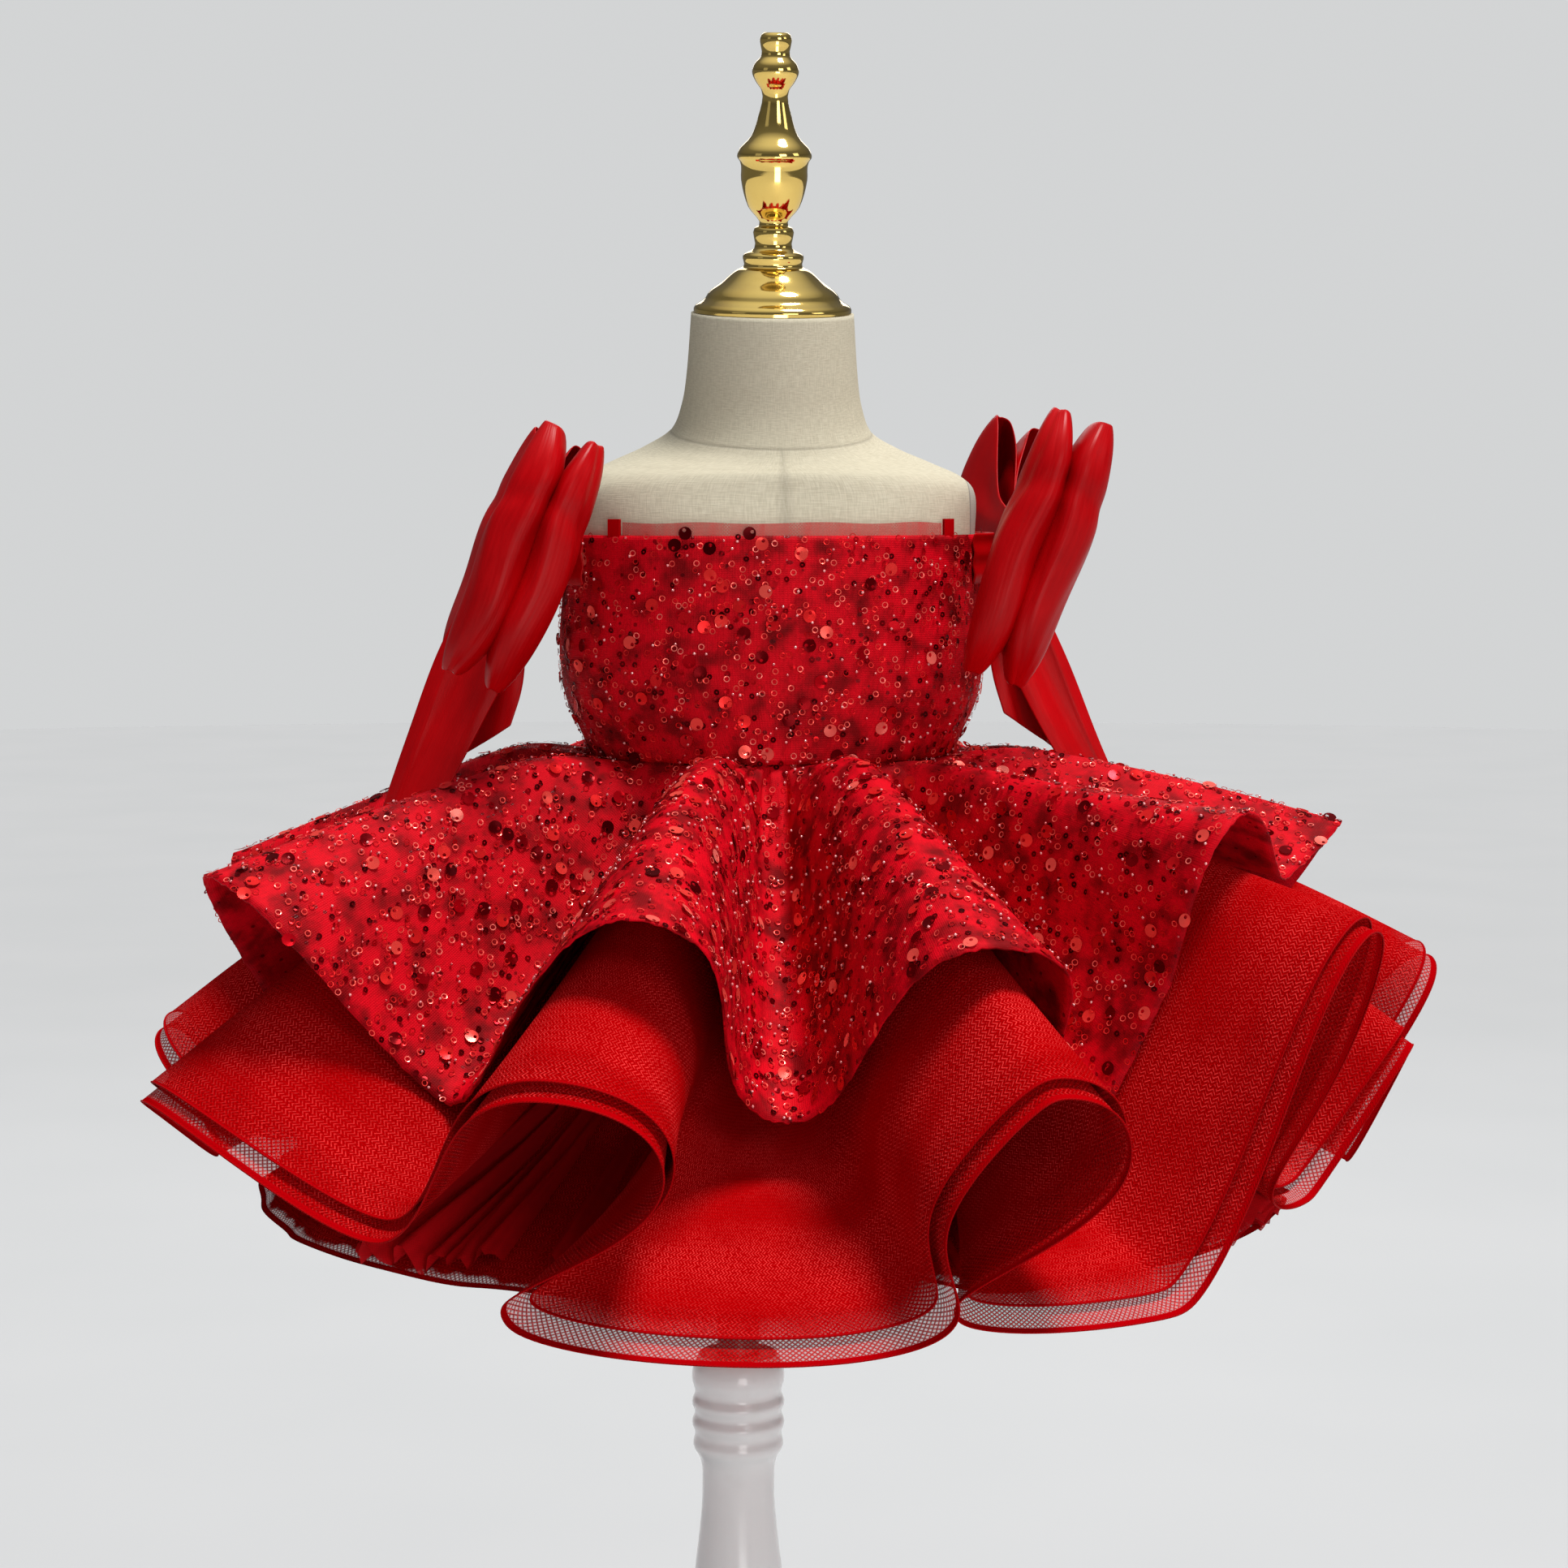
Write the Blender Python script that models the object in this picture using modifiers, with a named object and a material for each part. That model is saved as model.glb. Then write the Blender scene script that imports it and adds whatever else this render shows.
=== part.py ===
"""A flower girl dress on a child's dress form, in metres with +Z up.

The front faces -Y and the wearer's left is +X. The origin is the centre of the stand's underside.
Every piece of cloth is a wall whose points follow from the tables and sizes below.
"""

import math

import bmesh
import bpy
import numpy as np
from mathutils import Matrix, Vector
from mathutils.bvhtree import BVHTree

# Driving dimensions, in metres and degrees
GAP = 0.0003
SEAM_GAP = 0.0004
BUST_X = 0.018
WAIST_Z = 0.6525
BODICE_TOP_Z = 0.766
BODICE_WALL = 0.002
OVERSKIRT_WALL = 0.002
UNDERSKIRT_WALL = 0.0015
LOWER_WALL = 0.0012
PETTICOAT_WALL = 0.0012
RIBBON_WALL = 0.0016

# Half-width and half-depth of each layer's outer face at the waist, from the form outwards
PETTICOAT_WAIST = (0.0855, 0.0690)
LOWER_WAIST = (0.0870, 0.0705)
UNDERSKIRT_WAIST = (0.0888, 0.0723)
OVERSKIRT_WAIST = (0.0914, 0.0748)

# Columns of points lie closer where a hem bends: each spans this length or turns this far.
# The rows of points run from the waist, 0, to the hem, 1.
COLUMN_LENGTH = 0.090
COLUMN_TURN_DEG = 42
FEWEST_COLUMNS = 8
OVERSKIRT_ROWS = (0.0, 0.10, 0.26, 0.48, 0.74, 1.0)
UNDERSKIRT_ROWS = (0.0, 0.16, 0.38, 0.62, 0.82, 1.0)

# Flutes of a skirt layer, once round from the wearer's right. Angles run from the front towards +X.
# ridge: where the flute's crest meets the hem. crown: how far the flute's head swells to either side.
# tuck: how far its foot is drawn in under the head. valley: the low point that follows the flute.
FLUTE_COLUMNS = (
    "ridge_deg", "ridge_r", "ridge_z", "crown_right", "crown_left", "tuck_right", "tuck_left",
    "valley_deg", "valley_r", "valley_z",
)
OVERSKIRT_FLUTES = (
    (-66, 0.308, 0.608, 0.000, 0.012, -0.010, 0.000, -47, 0.230, 0.502),
    (-19, 0.285, 0.604, 0.000, 0.012, 0.000, 0.006, -4, 0.208, 0.500),
    (13, 0.285, 0.590, 0.004, 0.018, 0.004, 0.016, 36, 0.236, 0.504),
    (46, 0.282, 0.640, 0.010, 0.000, 0.010, 0.000, 61, 0.272, 0.600),
    (74, 0.292, 0.622, 0.000, 0.000, 0.000, 0.000, 80, 0.250, 0.560),
    (93, 0.290, 0.612, 0.004, 0.004, 0.002, 0.002, 112, 0.212, 0.516),
    (134, 0.285, 0.600, 0.006, 0.008, 0.002, 0.004, 155, 0.204, 0.506),
    (176, 0.285, 0.604, 0.006, 0.008, 0.002, 0.004, 197, 0.204, 0.504),
    (218, 0.285, 0.600, 0.006, 0.006, 0.004, 0.002, 238, 0.204, 0.508),
    (259, 0.285, 0.598, 0.004, 0.004, 0.000, 0.000, 276, 0.252, 0.520),
)
UNDERSKIRT_FLUTES = (
    (-66, 0.333, 0.510, 0.010, 0.000, 0.000, 0.000, -43, 0.290, 0.460),
    (-23, 0.332, 0.541, 0.008, 0.024, 0.000, 0.088, -6, 0.300, 0.424),
    (15, 0.335, 0.541, -0.004, 0.012, 0.048, 0.088, 31, 0.294, 0.428),
    (50, 0.330, 0.592, 0.010, 0.010, 0.000, 0.045, 60, 0.280, 0.452),
    (70, 0.325, 0.522, 0.004, 0.004, 0.000, 0.000, 80, 0.290, 0.450),
    (91, 0.350, 0.548, 0.012, 0.012, 0.010, 0.010, 112, 0.295, 0.436),
    (133, 0.335, 0.530, 0.016, 0.024, 0.020, 0.040, 154, 0.300, 0.428),
    (175, 0.335, 0.536, 0.020, 0.020, 0.030, 0.030, 196, 0.300, 0.424),
    (217, 0.335, 0.530, 0.024, 0.016, 0.040, 0.020, 238, 0.295, 0.432),
    (259, 0.322, 0.512, 0.012, 0.010, 0.010, 0.006, 276, 0.290, 0.448),
)

# How a crest and a valley run from the waist, 0, to the hem, 1
RUN_COLUMNS = ("along", "ridge_out", "ridge_down", "valley_out", "valley_down")
OVERSKIRT_RUN = (
    (0.00, 0.000, 0.000, 0.000, 0.000),
    (0.25, 0.210, -0.090, 0.130, 0.216),
    (0.50, 0.470, 0.190, 0.363, 0.500),
    (0.75, 0.744, 0.577, 0.662, 0.760),
    (1.00, 1.000, 1.000, 1.000, 1.000),
)
UNDERSKIRT_RUN = (
    (0.00, 0.000, 0.000, 0.000, 0.000),
    (0.20, 0.163, 0.080, 0.062, 0.220),
    (0.40, 0.392, 0.260, 0.194, 0.440),
    (0.60, 0.612, 0.510, 0.393, 0.650),
    (0.80, 0.816, 0.756, 0.668, 0.840),
    (1.00, 1.000, 1.000, 1.000, 1.000),
)
# How late a fold's sideways swing sets in, and how near the valley its foot is drawn in
OVERSKIRT_FOLD = (2.0, 2)
UNDERSKIRT_FOLD = (3.0, 4)
UNDERSKIRT_WAIST_Z = 0.647
LOWER_GAP_AT_HEM = 0.0042
LOWER_EXTRA_LENGTH = 0.012
OVERSKIRT_CLEARANCE = 0.0032
CLEARANCE_ROUNDS = 3

# Near the waist, where the folds crowd, this many points to either side share one direction
SHARED_POINTS = 3
CROWDED_LENGTH = 0.4
SHARP_EDGE_DEG = 50

# Petticoat: gathered tulle
PETTICOAT_WAVES = 34
PETTICOAT_WAVE_HEIGHT = 0.0042
PETTICOAT_WAVE_GROWTH = 1.2
PETTICOAT_COLUMNS = ("radius_growth", "z")
PETTICOAT_ROWS = (
    (0.000, 0.644),
    (0.009, 0.600),
    (0.062, 0.500),
    (0.178, 0.422),
)

# Sections of the form, top to bottom: neck and torso
FORM_COLUMNS = ("z", "half_width", "half_depth", "centre_y", "squareness", "tilt_deg")
FORM_SECTIONS = (
    (0.8785, 0.0416, 0.0416, -0.004, 2.0, 7),
    (0.8500, 0.0436, 0.0436, -0.002, 2.0, 8),
    (0.8320, 0.0462, 0.0460, 0.000, 2.0, 10),
    (0.8180, 0.0520, 0.0500, 0.001, 2.0, 11),
    (0.8095, 0.0660, 0.0545, 0.002, 2.0, 8),
    (0.8025, 0.0830, 0.0580, 0.002, 2.1, 4),
    (0.7950, 0.0985, 0.0610, 0.002, 2.2, 0),
    (0.7850, 0.1055, 0.0640, 0.002, 2.3, 0),
    (0.7600, 0.1046, 0.0690, 0.000, 2.3, 0),
    (0.7300, 0.1050, 0.0720, -0.001, 2.3, 0),
    (0.7000, 0.1060, 0.0730, -0.001, 2.3, 0),
    (0.6800, 0.1020, 0.0725, 0.000, 2.2, 0),
    (0.6640, 0.0920, 0.0690, 0.000, 2.1, 0),
    (0.6500, 0.0838, 0.0660, 0.000, 2.0, 0),
    (0.6200, 0.0838, 0.0660, 0.000, 2.0, 0),
    (0.5900, 0.0860, 0.0690, 0.000, 2.0, 0),
    (0.5500, 0.0950, 0.0790, 0.000, 2.1, 0),
    (0.5100, 0.0970, 0.0820, 0.000, 2.2, 0),
    (0.4850, 0.0880, 0.0740, 0.000, 2.1, 0),
    (0.4700, 0.0620, 0.0520, 0.000, 2.0, 0),
)
FORM_AROUND = 28

# Sections of the bodice's outer face, top to bottom
BODICE_COLUMNS = ("z", "half_width", "half_depth", "squareness")
BODICE_SECTIONS = (
    (0.7660, 0.1075, 0.0735, 2.3),
    (0.7400, 0.1078, 0.0755, 2.3),
    (0.7000, 0.1092, 0.0765, 2.3),
    (0.6790, 0.1055, 0.0765, 2.2),
    (0.6650, 0.0990, 0.0765, 2.1),
    (0.6532, 0.0939, 0.0773, 2.0),
)
BODICE_AROUND = 40
BACK_NECK_DIP = 0.006

# Facing and tabs
FACING_WALL = 0.001
FACING_HEIGHT = 0.006
FACING_HALF_DEG = 46
TAB_SIZE = (0.007, 0.0016, 0.009)
TAB_X = 0.084

# Arm straps: the inner face of one strap in plan, front to back
STRAP_HEIGHT = 0.026
STRAP_Z = 0.7535
STRAP_PATH = (
    (0.0985, -0.0370),
    (0.1052, -0.0285),
    (0.1112, -0.0175),
    (0.1137, -0.0060),
    (0.1137, 0.0060),
    (0.1112, 0.0175),
    (0.1052, 0.0285),
    (0.0985, 0.0370),
)

# Bows. side is -1 for the wearer's right; lean tips the top towards +X
BOW_COLUMNS = ("side", "name", "knot_z", "lean_deg", "tail_spread", "tail_drift")
BOWS = (
    (-1, "right", 0.757, 20, 0.014, 0.24),
    (1, "left", 0.762, 18, 0.000, 0.26),
)
BOW_X = 0.1306
KNOT_HALF = (0.0115, 0.0087, 0.0165)
KNOT_ROUNDING = 0.0045
LOOP_LENGTH = 0.094
LOOP_SWELL = 0.0168
LOOP_HALF_HEIGHT = (0.013, 0.063)
LOOP_SPREAD = (0.0046, 0.0130)
LOOP_TURN_IN_DEG = 4
LOOP_POINTS = 11
LOOP_ROWS = 4
LOOP_ROOT = 0.16
LOOP_EDGE_FLATNESS = 0.35
LOOP_END_ROUNDING = 0.10
LOOP_HEIGHT_POWER = 0.9

# Tails: along the middle of each tail, outward from the knot, down from it, and half its width
TAIL_COLUMNS = ("out", "down", "half_width")
TAIL_INNER = ((0.002, 0.000, 0.008), (0.005, 0.034, 0.018), (0.007, 0.062, 0.020), (0.009, 0.082, 0.018))
TAIL_OUTER = ((0.002, 0.000, 0.008), (0.011, 0.035, 0.019), (0.028, 0.078, 0.021), (0.046, 0.117, 0.021))
TAIL_START = 0.0008
TAIL_APART = 0.0034
TAIL_TWIST_DEG = 32
TAIL_ROWS = 7
TAIL_ACROSS = (-1.0, -0.5, 0.0, 0.5, 1.0)
TAIL_CUP = 0.0035
TAIL_SLANT = 0.010
TAIL_SPREAD_POWER = 0.7
TAIL_DRIFT_START = 0.04

# Turned pieces, as radius and height from the top down
CAP_TILT_DEG = 7
CAP_SEAT_Z = 0.8788
CAP_PROFILE = (
    (0.0060, 0.1392), (0.0074, 0.1380), (0.0074, 0.1275), (0.0105, 0.1240), (0.0118, 0.1200),
    (0.0098, 0.1150), (0.0070, 0.1110), (0.0085, 0.0980), (0.0118, 0.0885), (0.0186, 0.0800),
    (0.0189, 0.0780), (0.0174, 0.0755), (0.0168, 0.0665), (0.0130, 0.0530), (0.0074, 0.0440),
    (0.0097, 0.0425), (0.0097, 0.0325), (0.0155, 0.0285), (0.0150, 0.0235), (0.0185, 0.0215),
    (0.0250, 0.0160), (0.0330, 0.0095), (0.0345, 0.0070), (0.0403, 0.0020), (0.0403, 0.0000),
)
ROD_RADIUS = 0.011
POST_TOP_Z = 0.3350
POST_PROFILE = (
    (0.0205, 0.3350), (0.0232, 0.3300), (0.0244, 0.3220), (0.0228, 0.3140), (0.0244, 0.3090),
    (0.0228, 0.3035), (0.0244, 0.2980), (0.0228, 0.2925), (0.0238, 0.2860), (0.0203, 0.2790),
    (0.0190, 0.2630), (0.0205, 0.2400), (0.0231, 0.2180), (0.0262, 0.1900), (0.0275, 0.1660),
    (0.0250, 0.1470), (0.0190, 0.1340), (0.0165, 0.1240), (0.0180, 0.1070), (0.0215, 0.0900),
    (0.0225, 0.0750),
)
BASE_RADIUS = 0.140
BASE_PROFILE = (
    (0.0250, 0.0747), (0.0290, 0.0660), (0.0420, 0.0510), (0.0700, 0.0380), (0.1050, 0.0280),
    (0.1300, 0.0190), (BASE_RADIUS, 0.0110), (BASE_RADIUS, 0.0030), (0.1370, 0.0000),
)
TURNED_STEPS = 16
BASE_STEPS = 24

# Colours, roughness and metallic value of each finish
FINISHES = {
    "sequin_cloth": ((0.55, 0.010, 0.018), 0.45, 0.0),
    "horsehair": ((0.72, 0.010, 0.018), 0.55, 0.0),
    "tulle": ((0.70, 0.030, 0.040), 0.80, 0.0),
    "satin": ((0.50, 0.008, 0.014), 0.35, 0.0),
    "facing_net": ((0.68, 0.120, 0.110), 0.70, 0.0),
    "linen": ((0.62, 0.58, 0.47), 0.90, 0.0),
    "gilt": ((0.90, 0.66, 0.20), 0.12, 1.0),
    "rod_metal": ((0.20, 0.18, 0.17), 0.35, 1.0),
    "white_gloss": ((0.86, 0.86, 0.86), 0.20, 0.0),
}


def clear_scene():
    """Remove every object and give back a collection for the dress."""
    for obj in list(bpy.data.objects):
        bpy.data.objects.remove(obj, do_unlink=True)
    collection = bpy.data.collections.new("flower_girl_dress")
    bpy.context.scene.collection.children.link(collection)
    return collection


def make_finishes():
    """One Principled material for each finish."""
    made = {}
    for name, (colour, roughness, metallic) in FINISHES.items():
        material = bpy.data.materials.new(name)
        material.use_nodes = True
        shader = material.node_tree.nodes["Principled BSDF"]
        shader.inputs["Base Color"].default_value = (*colour, 1.0)
        shader.inputs["Roughness"].default_value = roughness
        shader.inputs["Metallic"].default_value = metallic
        made[name] = material
    return made


class Workshop:
    """Adds finished pieces to the collection."""

    def __init__(self, collection, finishes):
        self.collection = collection
        self.finishes = finishes

    def add(self, name, mesh, finish):
        """A piece from a mesh, shaded smooth but for its sharp edges."""
        mesh.materials.append(self.finishes[finish])
        mesh.shade_smooth()
        mesh.set_sharp_from_angle(angle=math.radians(SHARP_EDGE_DEG))
        piece = bpy.data.objects.new(name, mesh)
        self.collection.objects.link(piece)
        return piece

    def ribbon(self, name, grid, offset=-1.0):
        """A wall of ribbon under an open sheet of points: rows down the ribbon, columns across it."""
        piece = self.add(name, sheet_mesh(name, grid), "satin")
        solidify = piece.modifiers.new("wall", "SOLIDIFY")
        solidify.thickness = RIBBON_WALL
        solidify.offset = offset
        return piece

    def cloth(self, name, sheet, wall, finish, first, last):
        """A wall of cloth under some columns of a sheet, with half a seam gap at either side."""
        columns = slice(first, last + 1)
        outer = sheet.grid[:, columns].copy()
        inner = (sheet.grid - sheet.normals * wall)[:, columns]
        for edge, next_to in ((0, 1), (-1, -2)):
            step = outer[:, next_to] - outer[:, edge]
            step *= SEAM_GAP / np.linalg.norm(step, axis=1, keepdims=True)
            outer[:, edge] += step
            inner[:, edge] += step
        return self.add(name, wall_mesh(name, outer, inner), finish)

    def turned(self, name, profile, steps, finish):
        """A turned piece from a profile that runs down its outer side."""
        points = [(0.0, profile[0][1])] + list(profile) + [(0.0, profile[-1][1])]
        mesh = bpy.data.meshes.new(name)
        edges = [(i, i + 1) for i in range(len(points) - 1)]
        mesh.from_pydata([(r, 0.0, z) for r, z in points], edges, [])
        piece = self.add(name, mesh, finish)
        screw = piece.modifiers.new("turning", "SCREW")
        screw.steps = steps
        screw.render_steps = steps
        screw.use_merge_vertices = True
        screw.merge_threshold = 0.00005
        return piece


def sheet_mesh(name, grid):
    """An open sheet of quads that face outwards when rows run down and columns run towards +X in front."""
    rows, columns, _ = grid.shape
    faces = []
    for i in range(rows - 1):
        for j in range(columns - 1):
            corner = i * columns + j
            faces.append((corner, corner + columns, corner + columns + 1, corner + 1))
    mesh = bpy.data.meshes.new(name)
    mesh.from_pydata(grid.reshape(-1, 3).tolist(), [], faces)
    return mesh


def wall_mesh(name, outer, inner):
    """A closed wall between an outer and an inner face of the same rows and columns."""
    rows, columns, _ = outer.shape
    number = np.arange(rows * columns).reshape(rows, columns)
    faces = []
    for i in range(rows - 1):
        for j in range(columns - 1):
            a, b = number[i, j], number[i + 1, j]
            c, d = number[i + 1, j + 1], number[i, j + 1]
            for corners in ((a, b, c), (a, c, d)):
                faces.append(corners)
                faces.append(tuple(corner + rows * columns for corner in corners[::-1]))
    edge = [number[0, j] for j in range(columns)]
    edge += [number[i, -1] for i in range(1, rows)]
    edge += [number[-1, j] for j in range(columns - 2, -1, -1)]
    edge += [number[i, 0] for i in range(rows - 2, 0, -1)]
    for a, b in zip(edge, edge[1:] + edge[:1]):
        faces.append((a, b, b + rows * columns, a + rows * columns))
    mesh = bpy.data.meshes.new(name)
    points = np.concatenate([outer.reshape(-1, 3), inner.reshape(-1, 3)])
    mesh.from_pydata(points.tolist(), [], [tuple(map(int, face)) for face in faces])
    return mesh


class Sheet:
    """A sheet of points that closes on itself sideways: its last column repeats its first."""

    def __init__(self, grid):
        self.grid = grid
        self.measure()

    def measure(self):
        """Find the outward normal at each point."""
        ring = self.grid[:, :-1]
        around = np.roll(ring, -1, axis=1) - np.roll(ring, 1, axis=1)
        down = np.gradient(ring, axis=0)
        across = np.cross(down, around)
        across /= np.linalg.norm(across, axis=-1, keepdims=True)
        neighbours = range(-SHARED_POINTS, SHARED_POINTS + 1)
        shared = sum(np.roll(across, step, axis=1) for step in neighbours) / len(neighbours)
        share = np.arange(len(ring)) / len(ring)
        crowded = np.clip(1 - share / CROWDED_LENGTH, 0, 1)[:, None, None]
        across = across * (1 - crowded) + shared * crowded
        across /= np.linalg.norm(across, axis=-1, keepdims=True)
        self.normals = np.concatenate([across, across[:, :1]], axis=1)

    def moved_in(self, distances):
        """A sheet inside this one by one distance for each row."""
        return Sheet(self.grid - self.normals * np.asarray(distances)[:, None, None])

    def tree(self):
        """The sheet's faces, for finding the nearest."""
        rows, columns, _ = self.grid.shape
        points = [Vector(point) for point in self.grid.reshape(-1, 3)]
        faces = []
        for i in range(rows - 1):
            for a in range(i * columns, (i + 1) * columns - 1):
                faces.append((a, a + columns, a + columns + 1))
                faces.append((a, a + columns + 1, a + 1))
        return BVHTree.FromPolygons(points, faces)


def keep_outside(grid, tree, clearance):
    """Move each point that lies too near another sheet, or behind it, to its outer side."""
    kept = grid.copy()
    for index in np.ndindex(grid.shape[:-1]):
        point = Vector(grid[index])
        nearest, normal, _, _ = tree.find_nearest(point)
        height = (point - nearest).dot(normal)
        if height < clearance:
            kept[index] = point + normal * (clearance - height)
    return kept


def smooth_through(xs, ys, x):
    """A smooth curve through points, read at x."""
    xs = np.asarray(xs, float)
    ys = np.asarray(ys, float)
    slopes = np.gradient(ys, xs)
    i = np.clip(np.searchsorted(xs, x, side="right") - 1, 0, len(xs) - 2)
    width = xs[i + 1] - xs[i]
    t = (x - xs[i]) / width
    from_start = (2 * t**3 - 3 * t**2 + 1) * ys[i] + (t**3 - 2 * t**2 + t) * width * slopes[i]
    to_end = (3 * t**2 - 2 * t**3) * ys[i + 1] + (t**3 - t**2) * width * slopes[i + 1]
    return from_start + to_end


def oval_radius(angle, half_width, half_depth):
    """Radius of an oval at an angle from the front."""
    return 1.0 / np.sqrt((np.sin(angle) / half_width) ** 2 + (np.cos(angle) / half_depth) ** 2)


def rounded_oval(angle, half_width, half_depth, squareness):
    """x and y on a rounded oval, -Y at angle 0."""
    across = np.sin(angle)
    ahead = -np.cos(angle)
    x = np.sign(across) * np.abs(across) ** (2 / squareness) * half_width
    y = np.sign(ahead) * np.abs(ahead) ** (2 / squareness) * half_depth
    return x, y


def most_swing(power):
    """The largest value of a sine times the given power of a raised cosine over one flute."""
    place = np.linspace(0, 1, 201)
    return float(np.max(np.sin(np.pi * place) * ((1 + np.cos(np.pi * place)) / 2) ** power))


def as_columns(names, rows):
    """A table's columns by name."""
    return {name: np.array([row[i] for row in rows], float) for i, name in enumerate(names)}


class SkirtLayer:
    """One fluted layer of the skirt, as a surface over flute number, place in the flute and length."""

    def __init__(self, flutes, run, waist, waist_z, fold):
        self.flutes = as_columns(FLUTE_COLUMNS, flutes)
        self.run = as_columns(RUN_COLUMNS, run)
        self.waist = waist
        self.waist_z = waist_z
        self.fold_power, self.foot_power = fold
        self.count = len(flutes)

    def along(self, column, length):
        """One column of the run table, read at a share of the length."""
        return smooth_through(self.run["along"], self.run[column], length)

    def point(self, k, place, length):
        """Points on flute k. place runs from -1 in one valley over 0 at the crest to 1 in the next."""
        flutes = self.flutes
        before = (k - 1) % self.count
        start_deg = flutes["valley_deg"][before] - (360 if k == 0 else 0)
        end_deg = flutes["valley_deg"][k]
        crest_deg = flutes["ridge_deg"][k]
        lift = (1 + np.cos(np.pi * place)) / 2
        half_deg = (end_deg - start_deg) / 2
        skew_deg = (end_deg + start_deg) / 2 - crest_deg
        angle = np.radians(crest_deg + half_deg * place + skew_deg * (1 - lift))
        valley = np.where(place < 0, before, k)
        waist_r = oval_radius(angle, *self.waist)
        ridge_r = waist_r + (flutes["ridge_r"][k] - waist_r) * self.along("ridge_out", length)
        ridge_z = self.waist_z + (flutes["ridge_z"][k] - self.waist_z) * self.along("ridge_down", length)
        valley_r = waist_r + (flutes["valley_r"][valley] - waist_r) * self.along("valley_out", length)
        valley_fall = self.along("valley_down", length)
        valley_z = self.waist_z + (flutes["valley_z"][valley] - self.waist_z) * valley_fall
        radius = valley_r + (ridge_r - valley_r) * lift
        height = valley_z + (ridge_z - valley_z) * lift
        crown = np.where(place < 0, flutes["crown_right"][k], flutes["crown_left"][k])
        tuck = np.where(place < 0, flutes["tuck_right"][k], flutes["tuck_left"][k])
        head = crown * lift**2 / most_swing(2)
        foot = tuck * (1 - lift) ** self.foot_power / most_swing(self.foot_power)
        swing = np.sin(np.pi * place) * (head - foot)
        angle = angle + swing * length**self.fold_power / radius
        return np.stack([BUST_X + radius * np.sin(angle), -radius * np.cos(angle), height], axis=-1)

    def places(self, k):
        """Places across flute k, an even number of columns, closer where its hem bends."""
        fine = np.linspace(-1, 1, 401)
        hem = self.point(k, fine, np.ones_like(fine))
        steps = np.diff(hem, axis=0)
        lengths = np.linalg.norm(steps, axis=1)
        ways = steps / lengths[:, None]
        turns = np.arccos(np.clip(np.sum(ways[1:] * ways[:-1], axis=1), -1, 1))
        effort = lengths / COLUMN_LENGTH
        effort[1:] += turns / math.radians(COLUMN_TURN_DEG)
        travelled = np.concatenate([[0], np.cumsum(effort)])
        count = max(FEWEST_COLUMNS, 2 * round(travelled[-1] / 2))
        return np.interp(np.linspace(0, travelled[-1], count + 1), travelled, fine)

    def sheet(self, rows):
        """The whole layer, and the column numbers at which its flutes begin, end last."""
        lengths = np.array(rows)[:, None]
        strips = []
        starts = [0]
        for k in range(self.count):
            places = self.places(k)[None, (1 if strips else 0) :]
            strips.append(self.point(k, places, np.broadcast_to(lengths, (len(rows), places.size))))
            starts.append(starts[-1] + places.size - (1 if k == 0 else 0))
        return Sheet(np.concatenate(strips, axis=1)), starts


def build_skirts(shop):
    """The two stiff layers, the longer one inside, and the sequinned overskirt that lies on them."""
    under = SkirtLayer(
        UNDERSKIRT_FLUTES, UNDERSKIRT_RUN, UNDERSKIRT_WAIST, UNDERSKIRT_WAIST_Z, UNDERSKIRT_FOLD
    )
    upper, starts = under.sheet(UNDERSKIRT_ROWS)
    longer, _ = under.sheet(UNDERSKIRT_ROWS[:-1] + (1.0 + LOWER_EXTRA_LENGTH,))
    waist_gap = UNDERSKIRT_WAIST[0] - LOWER_WAIST[0]
    share = np.array(UNDERSKIRT_ROWS)
    lower = longer.moved_in(waist_gap + (LOWER_GAP_AT_HEM - waist_gap) * share)
    for name, first, last in (("front", 0, 5), ("back", 5, 10)):
        columns = (starts[first], starts[last])
        shop.cloth("underskirt_upper_" + name, upper, UNDERSKIRT_WALL, "horsehair", *columns)
        shop.cloth("underskirt_lower_" + name, lower, LOWER_WALL, "horsehair", *columns)
    over = SkirtLayer(OVERSKIRT_FLUTES, OVERSKIRT_RUN, OVERSKIRT_WAIST, WAIST_Z, OVERSKIRT_FOLD)
    top, starts = over.sheet(OVERSKIRT_ROWS)
    tree = upper.tree()
    for _ in range(CLEARANCE_ROUNDS):
        top = Sheet(keep_outside(top.grid, tree, OVERSKIRT_CLEARANCE))
    centre_back = (starts[7] + starts[8]) // 2
    panels = (
        ("overskirt_front", 0, starts[5]),
        ("overskirt_back_left", starts[5], centre_back),
        ("overskirt_back_right", centre_back, starts[10]),
    )
    for name, first, last in panels:
        shop.cloth(name, top, OVERSKIRT_WALL, "sequin_cloth", first, last)


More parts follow.
